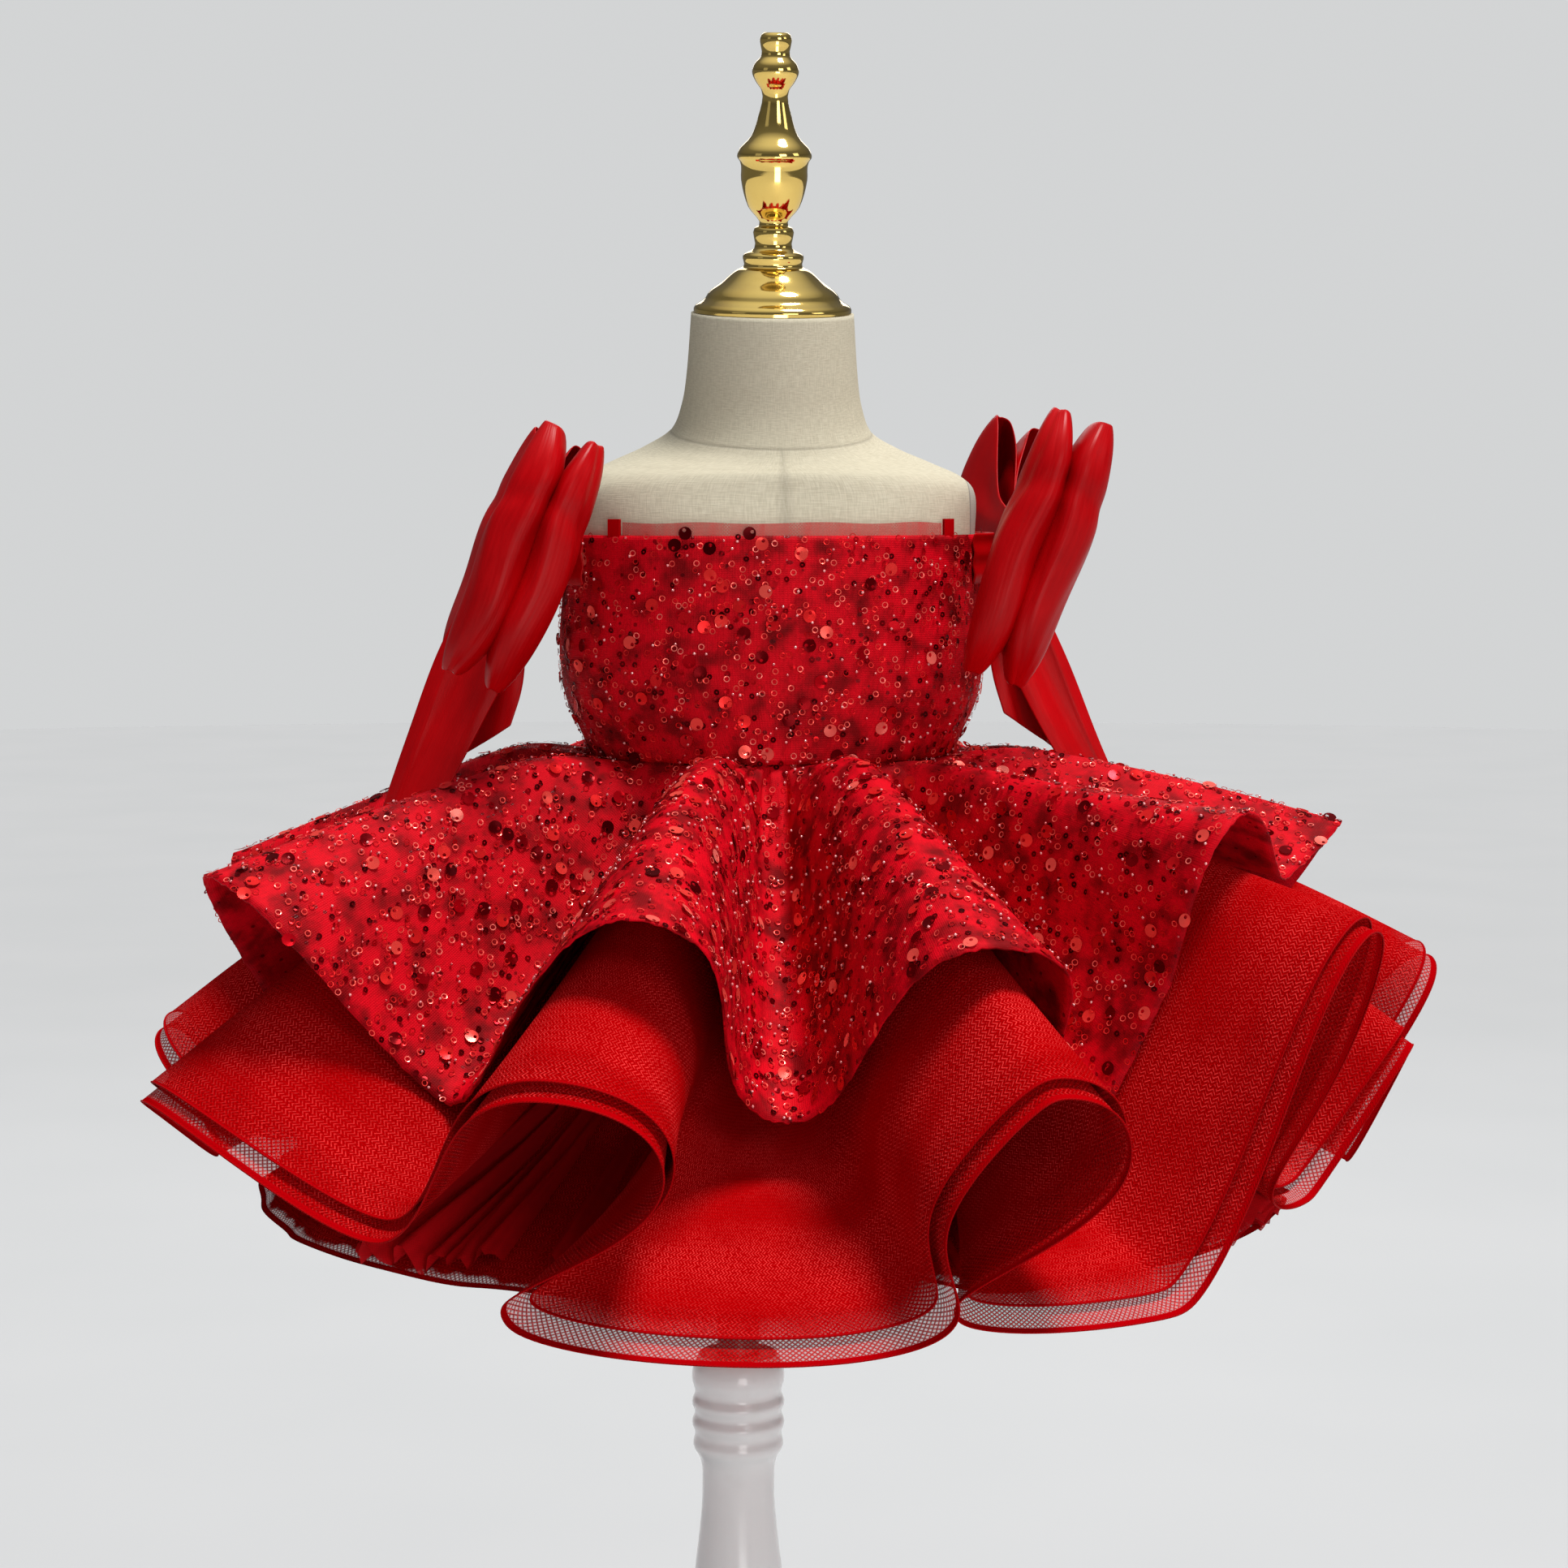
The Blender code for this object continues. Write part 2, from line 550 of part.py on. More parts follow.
def build_petticoat(shop):
    """Gathered tulle in two halves, with waves that grow from the waist to the hem."""
    rows = as_columns(PETTICOAT_COLUMNS, PETTICOAT_ROWS)
    share = np.linspace(0, 1, len(PETTICOAT_ROWS))[:, None]
    columns = 4 * PETTICOAT_WAVES
    angle = np.linspace(-math.pi / 2, 1.5 * math.pi, columns + 1)[None, :]
    wave = PETTICOAT_WAVE_HEIGHT * share**PETTICOAT_WAVE_GROWTH * np.sin(PETTICOAT_WAVES * angle)
    radius = oval_radius(angle, *PETTICOAT_WAIST) + rows["radius_growth"][:, None] + wave
    height = rows["z"][:, None] + wave
    sheet = Sheet(np.stack([BUST_X + radius * np.sin(angle), -radius * np.cos(angle), height], axis=-1))
    shop.cloth("petticoat_front", sheet, PETTICOAT_WALL, "tulle", 0, columns // 2)
    shop.cloth("petticoat_back", sheet, PETTICOAT_WALL, "tulle", columns // 2, columns)


def build_bodice(shop):
    """Front and two backs of the bodice. The top edge dips a little at the back."""
    angles = np.linspace(-math.pi / 2, 1.5 * math.pi, BODICE_AROUND + 1)
    rows = []
    for row in BODICE_SECTIONS:
        section = dict(zip(BODICE_COLUMNS, row))
        z = section.pop("z")
        x, y = rounded_oval(angles, **section)
        dip = BACK_NECK_DIP * np.clip(-np.cos(angles), 0, 1) ** 2 * (z == BODICE_TOP_Z)
        rows.append(np.stack([BUST_X + x, y, z - dip], axis=-1))
    sheet = Sheet(np.array(rows))
    quarter = BODICE_AROUND // 4
    panels = (
        ("bodice_front", 0, 2 * quarter),
        ("bodice_back_left", 2 * quarter, 3 * quarter),
        ("bodice_back_right", 3 * quarter, 4 * quarter),
    )
    for name, first, last in panels:
        shop.cloth(name, sheet, BODICE_WALL, "sequin_cloth", first, last)


def build_facing(shop):
    """The strip of stiff net above the front top edge, and a hanger tab at each of its ends."""
    angles = np.radians(np.linspace(-FACING_HALF_DEG, FACING_HALF_DEG, 17))
    z, half_width, half_depth, squareness = BODICE_SECTIONS[0]
    inset = (BODICE_WALL - FACING_WALL) / 2
    x, y = rounded_oval(angles, half_width - inset, half_depth - inset, squareness)
    rows = [
        np.stack([BUST_X + x, y, np.full_like(x, z + GAP + height)], axis=-1)
        for height in (FACING_HEIGHT, 0.0)
    ]
    strip = shop.add("neck_facing", sheet_mesh("neck_facing", np.array(rows)), "facing_net")
    solidify = strip.modifiers.new("wall", "SOLIDIFY")
    solidify.thickness = FACING_WALL
    solidify.offset = -1.0
    width, depth, height = TAB_SIZE
    share = 1 - (TAB_X / half_width) ** squareness
    y = -half_depth * share ** (1 / squareness) + BODICE_WALL / 2
    slope = math.atan2(TAB_X / half_width**2, -y / half_depth**2)
    for name, side in (("right", -1), ("left", 1)):
        mesh = bpy.data.meshes.new("hanger_tab_" + name)
        block = bmesh.new()
        bmesh.ops.create_cube(block, size=1.0)
        bmesh.ops.scale(block, vec=(width, depth, height), verts=block.verts)
        bmesh.ops.rotate(block, matrix=Matrix.Rotation(side * slope, 3, "Z"), verts=block.verts)
        seat = Vector((BUST_X + side * TAB_X, y, z + GAP + height / 2))
        bmesh.ops.translate(block, vec=seat, verts=block.verts)
        block.to_mesh(mesh)
        block.free()
        shop.add("hanger_tab_" + name, mesh, "satin")


def build_form(shop):
    """The linen torso and neck: a loft through rounded ovals, closed at both ends."""
    angles = np.linspace(0, 2 * math.pi, FORM_AROUND, endpoint=False)
    form = bmesh.new()
    rings = []
    for row in FORM_SECTIONS:
        section = dict(zip(FORM_COLUMNS, row))
        x, y = rounded_oval(
            angles, section["half_width"], section["half_depth"], section["squareness"]
        )
        rise = y * math.tan(math.radians(section["tilt_deg"]))
        corners = zip(BUST_X + x, section["centre_y"] + y, section["z"] + rise)
        rings.append([form.verts.new(corner) for corner in corners])
    for upper, lower in zip(rings, rings[1:]):
        for j in range(FORM_AROUND):
            k = (j + 1) % FORM_AROUND
            form.faces.new((upper[j], lower[j], lower[k], upper[k]))
    form.faces.new(rings[0])
    form.faces.new(rings[-1][::-1])
    bmesh.ops.recalc_face_normals(form, faces=form.faces)
    mesh = bpy.data.meshes.new("form_torso")
    form.to_mesh(mesh)
    form.free()
    shop.add("form_torso", mesh, "linen")


def build_stand(shop):
    """Neck cap with finial, rod, turned post and round base."""
    cap = shop.turned("neck_cap", CAP_PROFILE, TURNED_STEPS, "gilt")
    cap.location = (BUST_X, FORM_SECTIONS[0][3], CAP_SEAT_Z)
    cap.rotation_euler = (math.radians(CAP_TILT_DEG), 0.0, 0.0)
    rod_top = FORM_SECTIONS[-1][0] - GAP
    rod_bottom = POST_TOP_Z + GAP
    rod = [(ROD_RADIUS, rod_top), (ROD_RADIUS, rod_bottom)]
    shop.turned("stand_rod", rod, TURNED_STEPS, "rod_metal")
    shop.turned("stand_post", POST_PROFILE, TURNED_STEPS, "white_gloss")
    shop.turned("stand_base", BASE_PROFILE, BASE_STEPS, "white_gloss")


def build_straps(shop):
    """A satin band round each arm, from the front of the bodice to its back."""
    for name, side in (("right", -1), ("left", 1)):
        path = STRAP_PATH if side > 0 else STRAP_PATH[::-1]
        rows = []
        for up in (1, 0, -1):
            z = STRAP_Z + up * STRAP_HEIGHT / 2
            rows.append([(BUST_X + side * x, y, z) for x, y in path])
        shop.ribbon("arm_strap_" + name, np.array(rows), offset=1.0)


class Bow:
    """One double bow: a knot, two loops each way and two tails."""

    def __init__(self, side, name, knot_z, lean_deg, tail_spread, tail_drift):
        self.side = side
        self.name = name
        self.tail_spread = tail_spread
        self.tail_drift = tail_drift
        self.knot = Vector((BUST_X + side * BOW_X, 0.0, knot_z))
        self.lean_angle = math.radians(lean_deg)
        self.lean = Matrix.Rotation(self.lean_angle, 3, "Y")

    def place(self, out, along, up):
        """A point from its distances outward from the arm, along the wings and up, before the lean."""
        return self.knot + self.lean @ Vector((self.side * out, along, up))

    def loop_grid(self, ahead, layer):
        """One loop. ahead is -1 for the front wing, layer 1 for the outer loop and -1 for the inner."""
        turns = np.linspace(0, 1, LOOP_POINTS)
        widths = np.linspace(1, -1, LOOP_ROWS)
        start = KNOT_HALF[1] + GAP
        turn_in = math.tan(math.radians(LOOP_TURN_IN_DEG))
        grid = []
        for width in widths:
            row = []
            for turn in turns:
                reach = math.sin(math.pi * turn)
                flat = 1 - LOOP_EDGE_FLATNESS * width**2 * reach
                open_share = LOOP_ROOT + (1 - LOOP_ROOT) * reach
                swell = -LOOP_SWELL * math.cos(math.pi * turn) * open_share * flat
                spread = LOOP_SPREAD[0] + (LOOP_SPREAD[1] - LOOP_SPREAD[0]) * reach
                growth = (LOOP_HALF_HEIGHT[1] - LOOP_HALF_HEIGHT[0]) * reach**LOOP_HEIGHT_POWER
                half = LOOP_HALF_HEIGHT[0] + growth
                length = start + LOOP_LENGTH * reach * (1 - LOOP_END_ROUNDING * width**2)
                out = layer * spread + swell - turn_in * length
                row.append(self.place(out, ahead * length, width * half))
            grid.append(row)
        grid = np.array(grid)
        return grid if self.side * ahead < 0 else grid[:, ::-1]

    def build_loops(self, shop):
        """The four loops."""
        for wing, ahead in (("front", -1), ("back", 1)):
            for position, layer in (("outer", 1), ("inner", -1)):
                name = f"bow_{self.name}_{wing}_{position}"
                shop.ribbon(name, self.loop_grid(ahead, layer))

    def build_knot(self, shop):
        """The wrapped knot, a block with rounded edges."""
        name = f"bow_{self.name}_knot"
        block = bmesh.new()
        bmesh.ops.create_cube(block, size=2.0)
        bmesh.ops.scale(block, vec=KNOT_HALF, verts=block.verts)
        bmesh.ops.rotate(block, matrix=self.lean, verts=block.verts)
        bmesh.ops.translate(block, vec=self.knot, verts=block.verts)
        mesh = bpy.data.meshes.new(name)
        block.to_mesh(mesh)
        block.free()
        bevel = shop.add(name, mesh, "satin").modifiers.new("rounding", "BEVEL")
        bevel.width = KNOT_ROUNDING
        bevel.segments = 2

    def tail_grid(self, rows, behind):
        """A tail that fans out below the knot, gently cupped across its width."""
        table = as_columns(TAIL_COLUMNS, rows)
        down = np.linspace(0, rows[-1][1], TAIL_ROWS)
        foot = self.knot + self.lean @ Vector((0.0, 0.0, -KNOT_HALF[2] - TAIL_START))
        slope = math.tan(self.lean_angle)
        grid = []
        for fall in down:
            share = fall / rows[-1][1]
            out = float(smooth_through(table["down"], table["out"], fall))
            half = float(smooth_through(table["down"], table["half_width"], fall))
            middle = out + self.tail_spread * share**TAIL_SPREAD_POWER
            twist = math.radians(TAIL_TWIST_DEG) * share
            line = []
            for across in TAIL_ACROSS:
                cup = TAIL_CUP * share * (across**2 - 0.5)
                step = self.side * (middle + across * half * math.cos(twist))
                y = behind + cup + across * half * math.sin(twist)
                y -= self.tail_drift * (TAIL_DRIFT_START + middle) * share
                z = foot.z - fall - TAIL_SLANT * share * across - (1 - share) * slope * step
                line.append((foot.x + step, y, z))
            grid.append(line[:: self.side])
        return np.array(grid)

    def build_tails(self, shop):
        """The two tails. The inner one hangs behind the outer."""
        tails = (("inner", TAIL_INNER, TAIL_APART), ("outer", TAIL_OUTER, -TAIL_APART))
        for position, rows, behind in tails:
            shop.ribbon(f"bow_{self.name}_tail_{position}", self.tail_grid(rows, behind))


def main():
    shop = Workshop(clear_scene(), make_finishes())
    build_stand(shop)
    build_form(shop)
    build_bodice(shop)
    build_facing(shop)
    build_straps(shop)
    build_skirts(shop)
    build_petticoat(shop)
    for row in BOWS:
        bow = Bow(**dict(zip(BOW_COLUMNS, row)))
        bow.build_knot(shop)
        bow.build_loops(shop)
        bow.build_tails(shop)


main()
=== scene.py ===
"""A flower girl dress on a child's dress form, dressed and lit for its picture.

Lengths are in metres. The front faces -Y, up is +Z and the wearer's left is +X, as in the part.
"""

from __future__ import annotations

import logging
import math
from dataclasses import dataclass
from enum import Enum
from typing import Any, Iterable, Sequence

import bpy
import numpy as np
from mathutils import Matrix, Vector
from mathutils.bvhtree import BVHTree


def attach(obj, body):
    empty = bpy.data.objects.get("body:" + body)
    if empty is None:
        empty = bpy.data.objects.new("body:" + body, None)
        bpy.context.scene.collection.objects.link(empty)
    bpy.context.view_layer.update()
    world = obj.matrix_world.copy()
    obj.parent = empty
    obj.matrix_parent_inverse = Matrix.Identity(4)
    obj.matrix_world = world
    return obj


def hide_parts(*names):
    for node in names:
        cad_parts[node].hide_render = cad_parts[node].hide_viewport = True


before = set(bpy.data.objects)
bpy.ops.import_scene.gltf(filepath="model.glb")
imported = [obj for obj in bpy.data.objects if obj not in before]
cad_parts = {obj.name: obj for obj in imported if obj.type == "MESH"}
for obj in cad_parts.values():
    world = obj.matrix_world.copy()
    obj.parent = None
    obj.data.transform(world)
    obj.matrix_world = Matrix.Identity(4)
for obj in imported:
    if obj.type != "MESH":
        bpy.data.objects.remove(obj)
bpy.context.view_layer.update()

LOG = logging.getLogger("flower_girl_dress")
Array = np.ndarray
Colour = tuple[float, float, float]
Faces = list[tuple[int, ...]]
Inputs = dict[Any, Any]
Obj = bpy.types.Object
Rows = tuple[tuple[float, ...], ...]

BUST_X = 0.018
GAP = 0.0003
UV_NAME = "cloth"
TINT_NAME = "tint"
SEAM_NAME = "seam"
TORSO = "form_linen"
BODICE = "bodice_front_cloth"
SEED = 41
SHORTEST_CUT = 0.010
ROUND_BODY = (-np.pi / 2, 1.5 * np.pi)


class Slot(Enum):
    """The record's material slots."""

    SEQUIN_CLOTH = "sequin_cloth"
    HORSEHAIR = "horsehair"
    TULLE = "tulle"
    SATIN = "satin"
    FACING_NET = "facing_net"
    LINEN = "linen"
    GILT = "gilt"
    ROD_METAL = "rod_metal"
    WHITE_GLOSS = "white_gloss"


class Side(Enum):
    """A side of the dress, by the sign of its X."""

    RIGHT = -1
    LEFT = 1

    @property
    def label(self) -> str:
        """The side's name in lower case."""
        return self.name.lower()


# Finishes


@dataclass(frozen=True)
class Signal:
    """A value or colour on its way through a material. Arithmetic on it adds Math nodes."""

    recipe: Recipe
    socket: Any

    def maths(self, operation: str, *others: Any) -> Signal:
        """The result of a Math node on this value and others."""
        return self.recipe.node("Math", dict(enumerate((self, *others))), operation=operation)

    def __add__(self, other: Any) -> Signal:
        """The sum."""
        return self.maths("ADD", other)

    def __sub__(self, other: Any) -> Signal:
        """The difference."""
        return self.maths("SUBTRACT", other)

    def __rsub__(self, other: float) -> Signal:
        """A number less this value."""
        return self.recipe.node("Math", {0: other, 1: self}, operation="SUBTRACT")

    def __mul__(self, other: Any) -> Signal:
        """The product."""
        return self.maths("MULTIPLY", other)

    def __abs__(self) -> Signal:
        """The value without its sign."""
        return self.maths("ABSOLUTE")

    def most(self, other: Any) -> Signal:
        """The larger of two values."""
        return self.maths("MAXIMUM", other)

    def clamped(self) -> Signal:
        """This result of a Math node, kept from 0 to 1."""
        self.socket.node.use_clamp = True
        return self

    def step(self, low: float, high: float) -> Signal:
        """A smooth rise from 0 at low to 1 at high."""
        limits = {"Value": self, "From Min": low, "From Max": high}
        return self.recipe.node("MapRange", limits, interpolation_type="SMOOTHSTEP")

    def thread(self, pitch: float, width: float) -> Signal:
        """Lines across this value, 1 on a line and 0 off it. The width is a share of the pitch."""
        wave = abs((self * (math.pi / pitch)).maths("SINE"))
        return (1.0 - wave.step(0.0, math.sin(math.pi * width / 2) * 2)).clamped()

    def split(self) -> list[Signal]:
        """This vector's three parts."""
        parts = self.recipe.node("SeparateXYZ", {0: self}).socket.node.outputs
        return [Signal(self.recipe, part) for part in parts]

    def stretched(self, across: float, down: float, turn: float = 0.0) -> Signal:
        """This vector scaled across and down, and turned about Z."""
        mapping = {"Vector": self, "Scale": (across, down, 1.0), "Rotation": (0.0, 0.0, turn)}
        return self.recipe.node("Mapping", mapping)

    def noise(self, scale: float, detail: float = 2.0) -> Signal:
        """A noise from 0 to 1 over this vector."""
        return self.recipe.node("TexNoise", {"Vector": self, "Scale": scale, "Detail": detail})

    def mix(self, first: Any, second: Any) -> Signal:
        """A colour between two others, by this share."""
        return self.recipe.node("Mix", {0: self, 6: first, 7: second}, 2, data_type="RGBA")

    def ramp(self, stops: Iterable[tuple[float, Colour]]) -> Signal:
        """A colour read from a ramp.

        Args:
            stops: Places on the ramp and their colours, in order.

        Returns:
            The colour where this value falls.
        """
        shown = self.recipe.node("ValToRGB", {0: self})
        elements = shown.socket.node.color_ramp.elements
        for number, (place, colour) in enumerate(stops):
            element = elements[number] if number < 2 else elements.new(place)
            element.position = place
            element.color = (*colour, 1.0)
        return shown


class Recipe:
    """A material or a world while it is made up."""

    def __init__(self, name: str, world: bool = False) -> None:
        """Start from a plain Principled material or a plain world.

        Args:
            name: Its name.
            world: Whether it is a world.
        """
        self.block = (bpy.data.worlds if world else bpy.data.materials).new(name)
        self.block.use_nodes = True
        self.tree = self.block.node_tree
        self.shader = self.tree.nodes["Background" if world else "Principled BSDF"]

    def feed(self, socket: Any, value: Any) -> None:
        """Link an input to a signal, or give it a value.

        Args:
            socket: The input.
            value: A signal, a number, or a colour of three parts.
        """
        if isinstance(value, Signal):
            self.tree.links.new(value.socket, socket)
        elif socket.type == "RGBA" and len(value) == 3:
            socket.default_value = (*value, 1.0)
        else:
            socket.default_value = value

    def node(self, kind: str, inputs: Inputs | None = None, output: Any = 0, **settings: Any) -> Signal:
        """Add a node.

        Args:
            kind: The node's type without its ShaderNode prefix.
            inputs: Values or signals for its inputs, by name or number.
            output: The output that is read, by name or number.
            settings: The node's own settings.

        Returns:
            The output.
        """
        made = self.tree.nodes.new("ShaderNode" + kind)
        for name, value in settings.items():
            setattr(made, name, value)
        for name, value in (inputs or {}).items():
            self.feed(made.inputs[name], value)
        return Signal(self, made.outputs[output])

    def shade(self, **inputs: Any) -> None:
        """Feed the shader's own inputs, named with underscores for spaces."""
        for name, value in inputs.items():
            self.feed(self.shader.inputs[name.replace("_", " ")], value)

    def bump(self, height: Signal, strength: float, distance: float) -> None:
        """Roughen the surface by a height from 0 to 1."""
        inputs = {"Height": height, "Strength": strength, "Distance": distance}
        self.shade(Normal=self.node("Bump", inputs))

    def cloth(self) -> Signal:
        """Metres across and down the cloth, as a vector."""
        return self.node("UVMap", uv_map=UV_NAME)

    def place(self) -> Signal:
        """The point on the object."""
        return self.node("TexCoord", output="Object")

    def attribute(self, name: str) -> Signal:
        """A number that the mesh carries at each point."""
        return self.node("Attribute", output="Fac", attribute_name=name)


def woven(first: Signal, second: Signal, pitch: float, width: float) -> Signal:
    """Threads across two values, one set over the other."""
    return first.thread(pitch, width).most(second.thread(pitch, width))


@dataclass(frozen=True)
class SequinGround:
    """Deep red cloth under the sequins, finely woven and mottled, with flat sequins in it painted near-black
    as a painted dark reflection.
    """

    deep: Colour = (0.190, 0.000, 0.002)
    bright: Colour = (0.660, 0.000, 0.009)
    dark: Colour = (0.030, 0.000, 0.001)
    weave_pitch: float = 0.0011
    dot_cell: float = 0.0046
    roughness: float = 0.60

    def material(self) -> Any:
        """Make the finish up.

        Returns:
            The material.
        """
        recipe = Recipe("sequin_ground")
        cloth = recipe.cloth()
        u, v, _ = cloth.split()
        cloudy = recipe.place().noise(70.0, 5.0)
        slub = cloth.stretched(900, 260, turn=0.7).noise(1.0, 3.0)
        colour = (cloudy.step(0.30, 0.62) * (slub + 0.45)).mix(self.deep, self.bright)
        cells = {"Vector": cloth, "Scale": 1 / self.dot_cell, "Randomness": 1.0}
        distance = recipe.node("TexVoronoi", cells, "Distance")
        own_colour = Signal(recipe, distance.socket.node.outputs["Color"])
        chosen = recipe.node("SeparateColor", {0: own_colour})
        # Near-black spots on the cloth: flat sequins painted dark as a painted dark reflection, and made
        # shinier.
        dot = (1.0 - distance.step(0.20, 0.27)) * chosen.step(0.60, 0.72)
        colour = (dot * 0.65).mix(colour, self.dark)
        recipe.shade(Base_Color=colour, Roughness=dot * -0.35 + self.roughness, Specular_IOR_Level=0.08)
        recipe.bump(woven(u, v, self.weave_pitch, 0.5) + slub * 0.8, 0.4, 0.0004)
        return recipe.block


@dataclass(frozen=True)
class Sparkle:
    """The surface of sequins or beads. The tint attribute picks each one's colour off the ramp: the palest
    colours are a painted highlight, and the foil's near-black a painted dark reflection.
    """

    name: str
    stops: tuple[tuple[float, Colour], ...]
    grain_scale: float
    grain_detail: float
    least_roughness: float
    grain_roughness: float
    specular: float
    specular_tint: Colour = (1.0, 1.0, 1.0)
    metallic: float = 0.0
    coat: float = 0.0

    def material(self) -> Any:
        """Make the finish up.

        Returns:
            The material.
        """
        recipe = Recipe(self.name)
        grain = recipe.place().noise(self.grain_scale, self.grain_detail)
        recipe.shade(
            Base_Color=recipe.attribute(TINT_NAME).ramp(self.stops),
            Roughness=grain * self.grain_roughness + self.least_roughness,
            Metallic=self.metallic,
            Specular_IOR_Level=self.specular,
            Specular_Tint=self.specular_tint,
            Coat_Weight=self.coat,
            Coat_Roughness=0.03,
        )
        return recipe.block


# Near-black at the low end is a painted dark reflection and the pale pinks at the top a painted highlight;
# the reds and corals between are the sequins' own colour.
SEQUIN_FOIL = Sparkle(
    "sequin_foil",
    (
        (0.00, (0.030, 0.000, 0.001)),
        (0.30, (0.120, 0.000, 0.002)),
        (0.45, (0.420, 0.001, 0.006)),
        (0.70, (0.780, 0.020, 0.020)),
        (0.88, (0.960, 0.110, 0.085)),
        (0.97, (1.000, 0.220, 0.180)),
        (1.00, (1.000, 0.500, 0.420)),
    ),
    grain_scale=900.0,
    grain_detail=2.0,
    least_roughness=0.13,
    grain_roughness=0.14,
    specular=0.10,
    specular_tint=(1.0, 0.30, 0.28),
    metallic=0.38,
)
# The palest pink at the top of the beads' ramp is a painted highlight.
SEED_BEAD = Sparkle(
    "seed_bead",
    ((0.0, (0.22, 0.002, 0.006)), (0.55, (0.62, 0.02, 0.03)), (1.0, (0.95, 0.42, 0.42))),
    grain_scale=700.0,
    grain_detail=1.0,
    least_roughness=0.03,
    grain_roughness=0.10,
    specular=0.8,
    coat=1.0,
)


@dataclass(frozen=True)
class Horsehair:
    """Stiff organza with herringbone floats in lanes along the hem, lit in patches by a painted highlight.
    Near the hem it is open net.
    """

    name: str
    net_band: float
    holes: float
    cover: float
    edge_band: float
    thread_width: float = 0.42
    deep: Colour = (0.260, 0.000, 0.001)
    bright: Colour = (0.430, 0.000, 0.001)
    glint: Colour = (1.000, 0.060, 0.060)
    edge: Colour = (0.380, 0.000, 0.002)
    lane: float = 0.0021
    stroke_pitch: float = 0.0021
    stroke_width: float = 0.26
    mesh_pitch: float = 0.0028
    wander: float = 0.020

    def material(self) -> Any:
        """Make the finish up.

        Returns:
            The material.
        """
        recipe = Recipe(self.name)
        cloth = recipe.cloth()
        u, v, _ = cloth.split()
        slant = (v * (1 / self.lane)).maths("FLOOR").maths("MODULO", 2.0) * 2.0 - 1.0
        stroke = (u + slant * v).thread(self.stroke_pitch, self.stroke_width)
        patches = cloth.stretched(14, 30).noise(1.0).step(0.30, 0.70) * 0.75 + 0.15
        painted_light_patches = patches * cloth.stretched(420, 700).noise(1.0, 1.0).step(0.32, 0.58)
        band = v.thread(self.lane, 0.55)
        cloudy = recipe.place().noise(9.0) * 0.35 + 0.20
        colour = (band * 0.35 + cloudy).mix(self.deep, self.bright)
        # Bright strokes where the floats would catch the light: a painted highlight, in patches.
        colour = (stroke * painted_light_patches * 0.95).mix(colour, self.glint)
        threads = woven(u + v, u - v, self.mesh_pitch, self.thread_width)
        net = (threads * (1.0 - self.holes) + self.holes).clamped()
        height = cloth.stretched(45, 45).noise(1.0, 3.0) * self.wander + v
        above = height.step(self.net_band / 2 + self.wander / 2, self.net_band + self.wander / 2)
        edge = 1.0 - v.step(self.edge_band, self.edge_band + 0.0005)
        body = band.most(stroke) * (1.0 - self.cover) + self.cover
        alpha = above * (body - net) + net
        recipe.shade(Base_Color=edge.mix(colour, self.edge), Alpha=alpha.most(edge))
        recipe.shade(Roughness=painted_light_patches * -0.15 + 0.60, Specular_IOR_Level=0.0)
        recipe.bump(band + stroke, 0.5, 0.0003)
        return recipe.block


@dataclass(frozen=True)
class EdgeCord:
    """The rolled hem of the stiff layers."""

    deep: Colour = (0.270, 0.000, 0.001)
    bright: Colour = (0.440, 0.000, 0.002)
    twist_pitch: float = 0.0016

    def material(self) -> Any:
        """Make the finish up.

        Returns:
            The material.
        """
        recipe = Recipe("edge_cord")
        u, v, _ = recipe.cloth().split()
        twist = (u + v).thread(self.twist_pitch, 0.4)
        recipe.shade(Base_Color=twist.mix(self.deep, self.bright), Roughness=0.60, Specular_IOR_Level=0.03)
        recipe.bump(twist, 0.4, 0.0003)
        return recipe.block


@dataclass(frozen=True)
class Tulle:
    """Soft gathered net, denser where folds lie on each other."""

    name: str
    colour: Colour
    cover: float
    mesh_pitch: float = 0.0016
    fold_shade: float = 0.55
    hem_line: float = 0.0
    thin_below: float = 0.0

    def material(self) -> Any:
        """Make the finish up.

        Returns:
            The material.
        """
        recipe = Recipe(self.name)
        cloth = recipe.cloth()
        u, v, _ = cloth.split()
        mesh = woven(u + v, u - v, self.mesh_pitch, 0.4)
        folds = cloth.stretched(120, 9).noise(1.0)
        alpha = (mesh * 0.22 + (folds * 0.5 + (self.cover - 0.25))).clamped()
        if self.thin_below:
            alpha = alpha.most(v.step(0.2 * self.thin_below, self.thin_below))
        if self.hem_line:
            alpha = alpha.most(1.0 - v.step(self.hem_line, self.hem_line * 1.3))
        colour = folds.mix(tuple(part * self.fold_shade for part in self.colour), self.colour)
        recipe.shade(Base_Color=colour, Alpha=alpha, Roughness=0.8, Specular_IOR_Level=0.1)
        recipe.bump(mesh, 0.2, 0.0002)
        return recipe.block


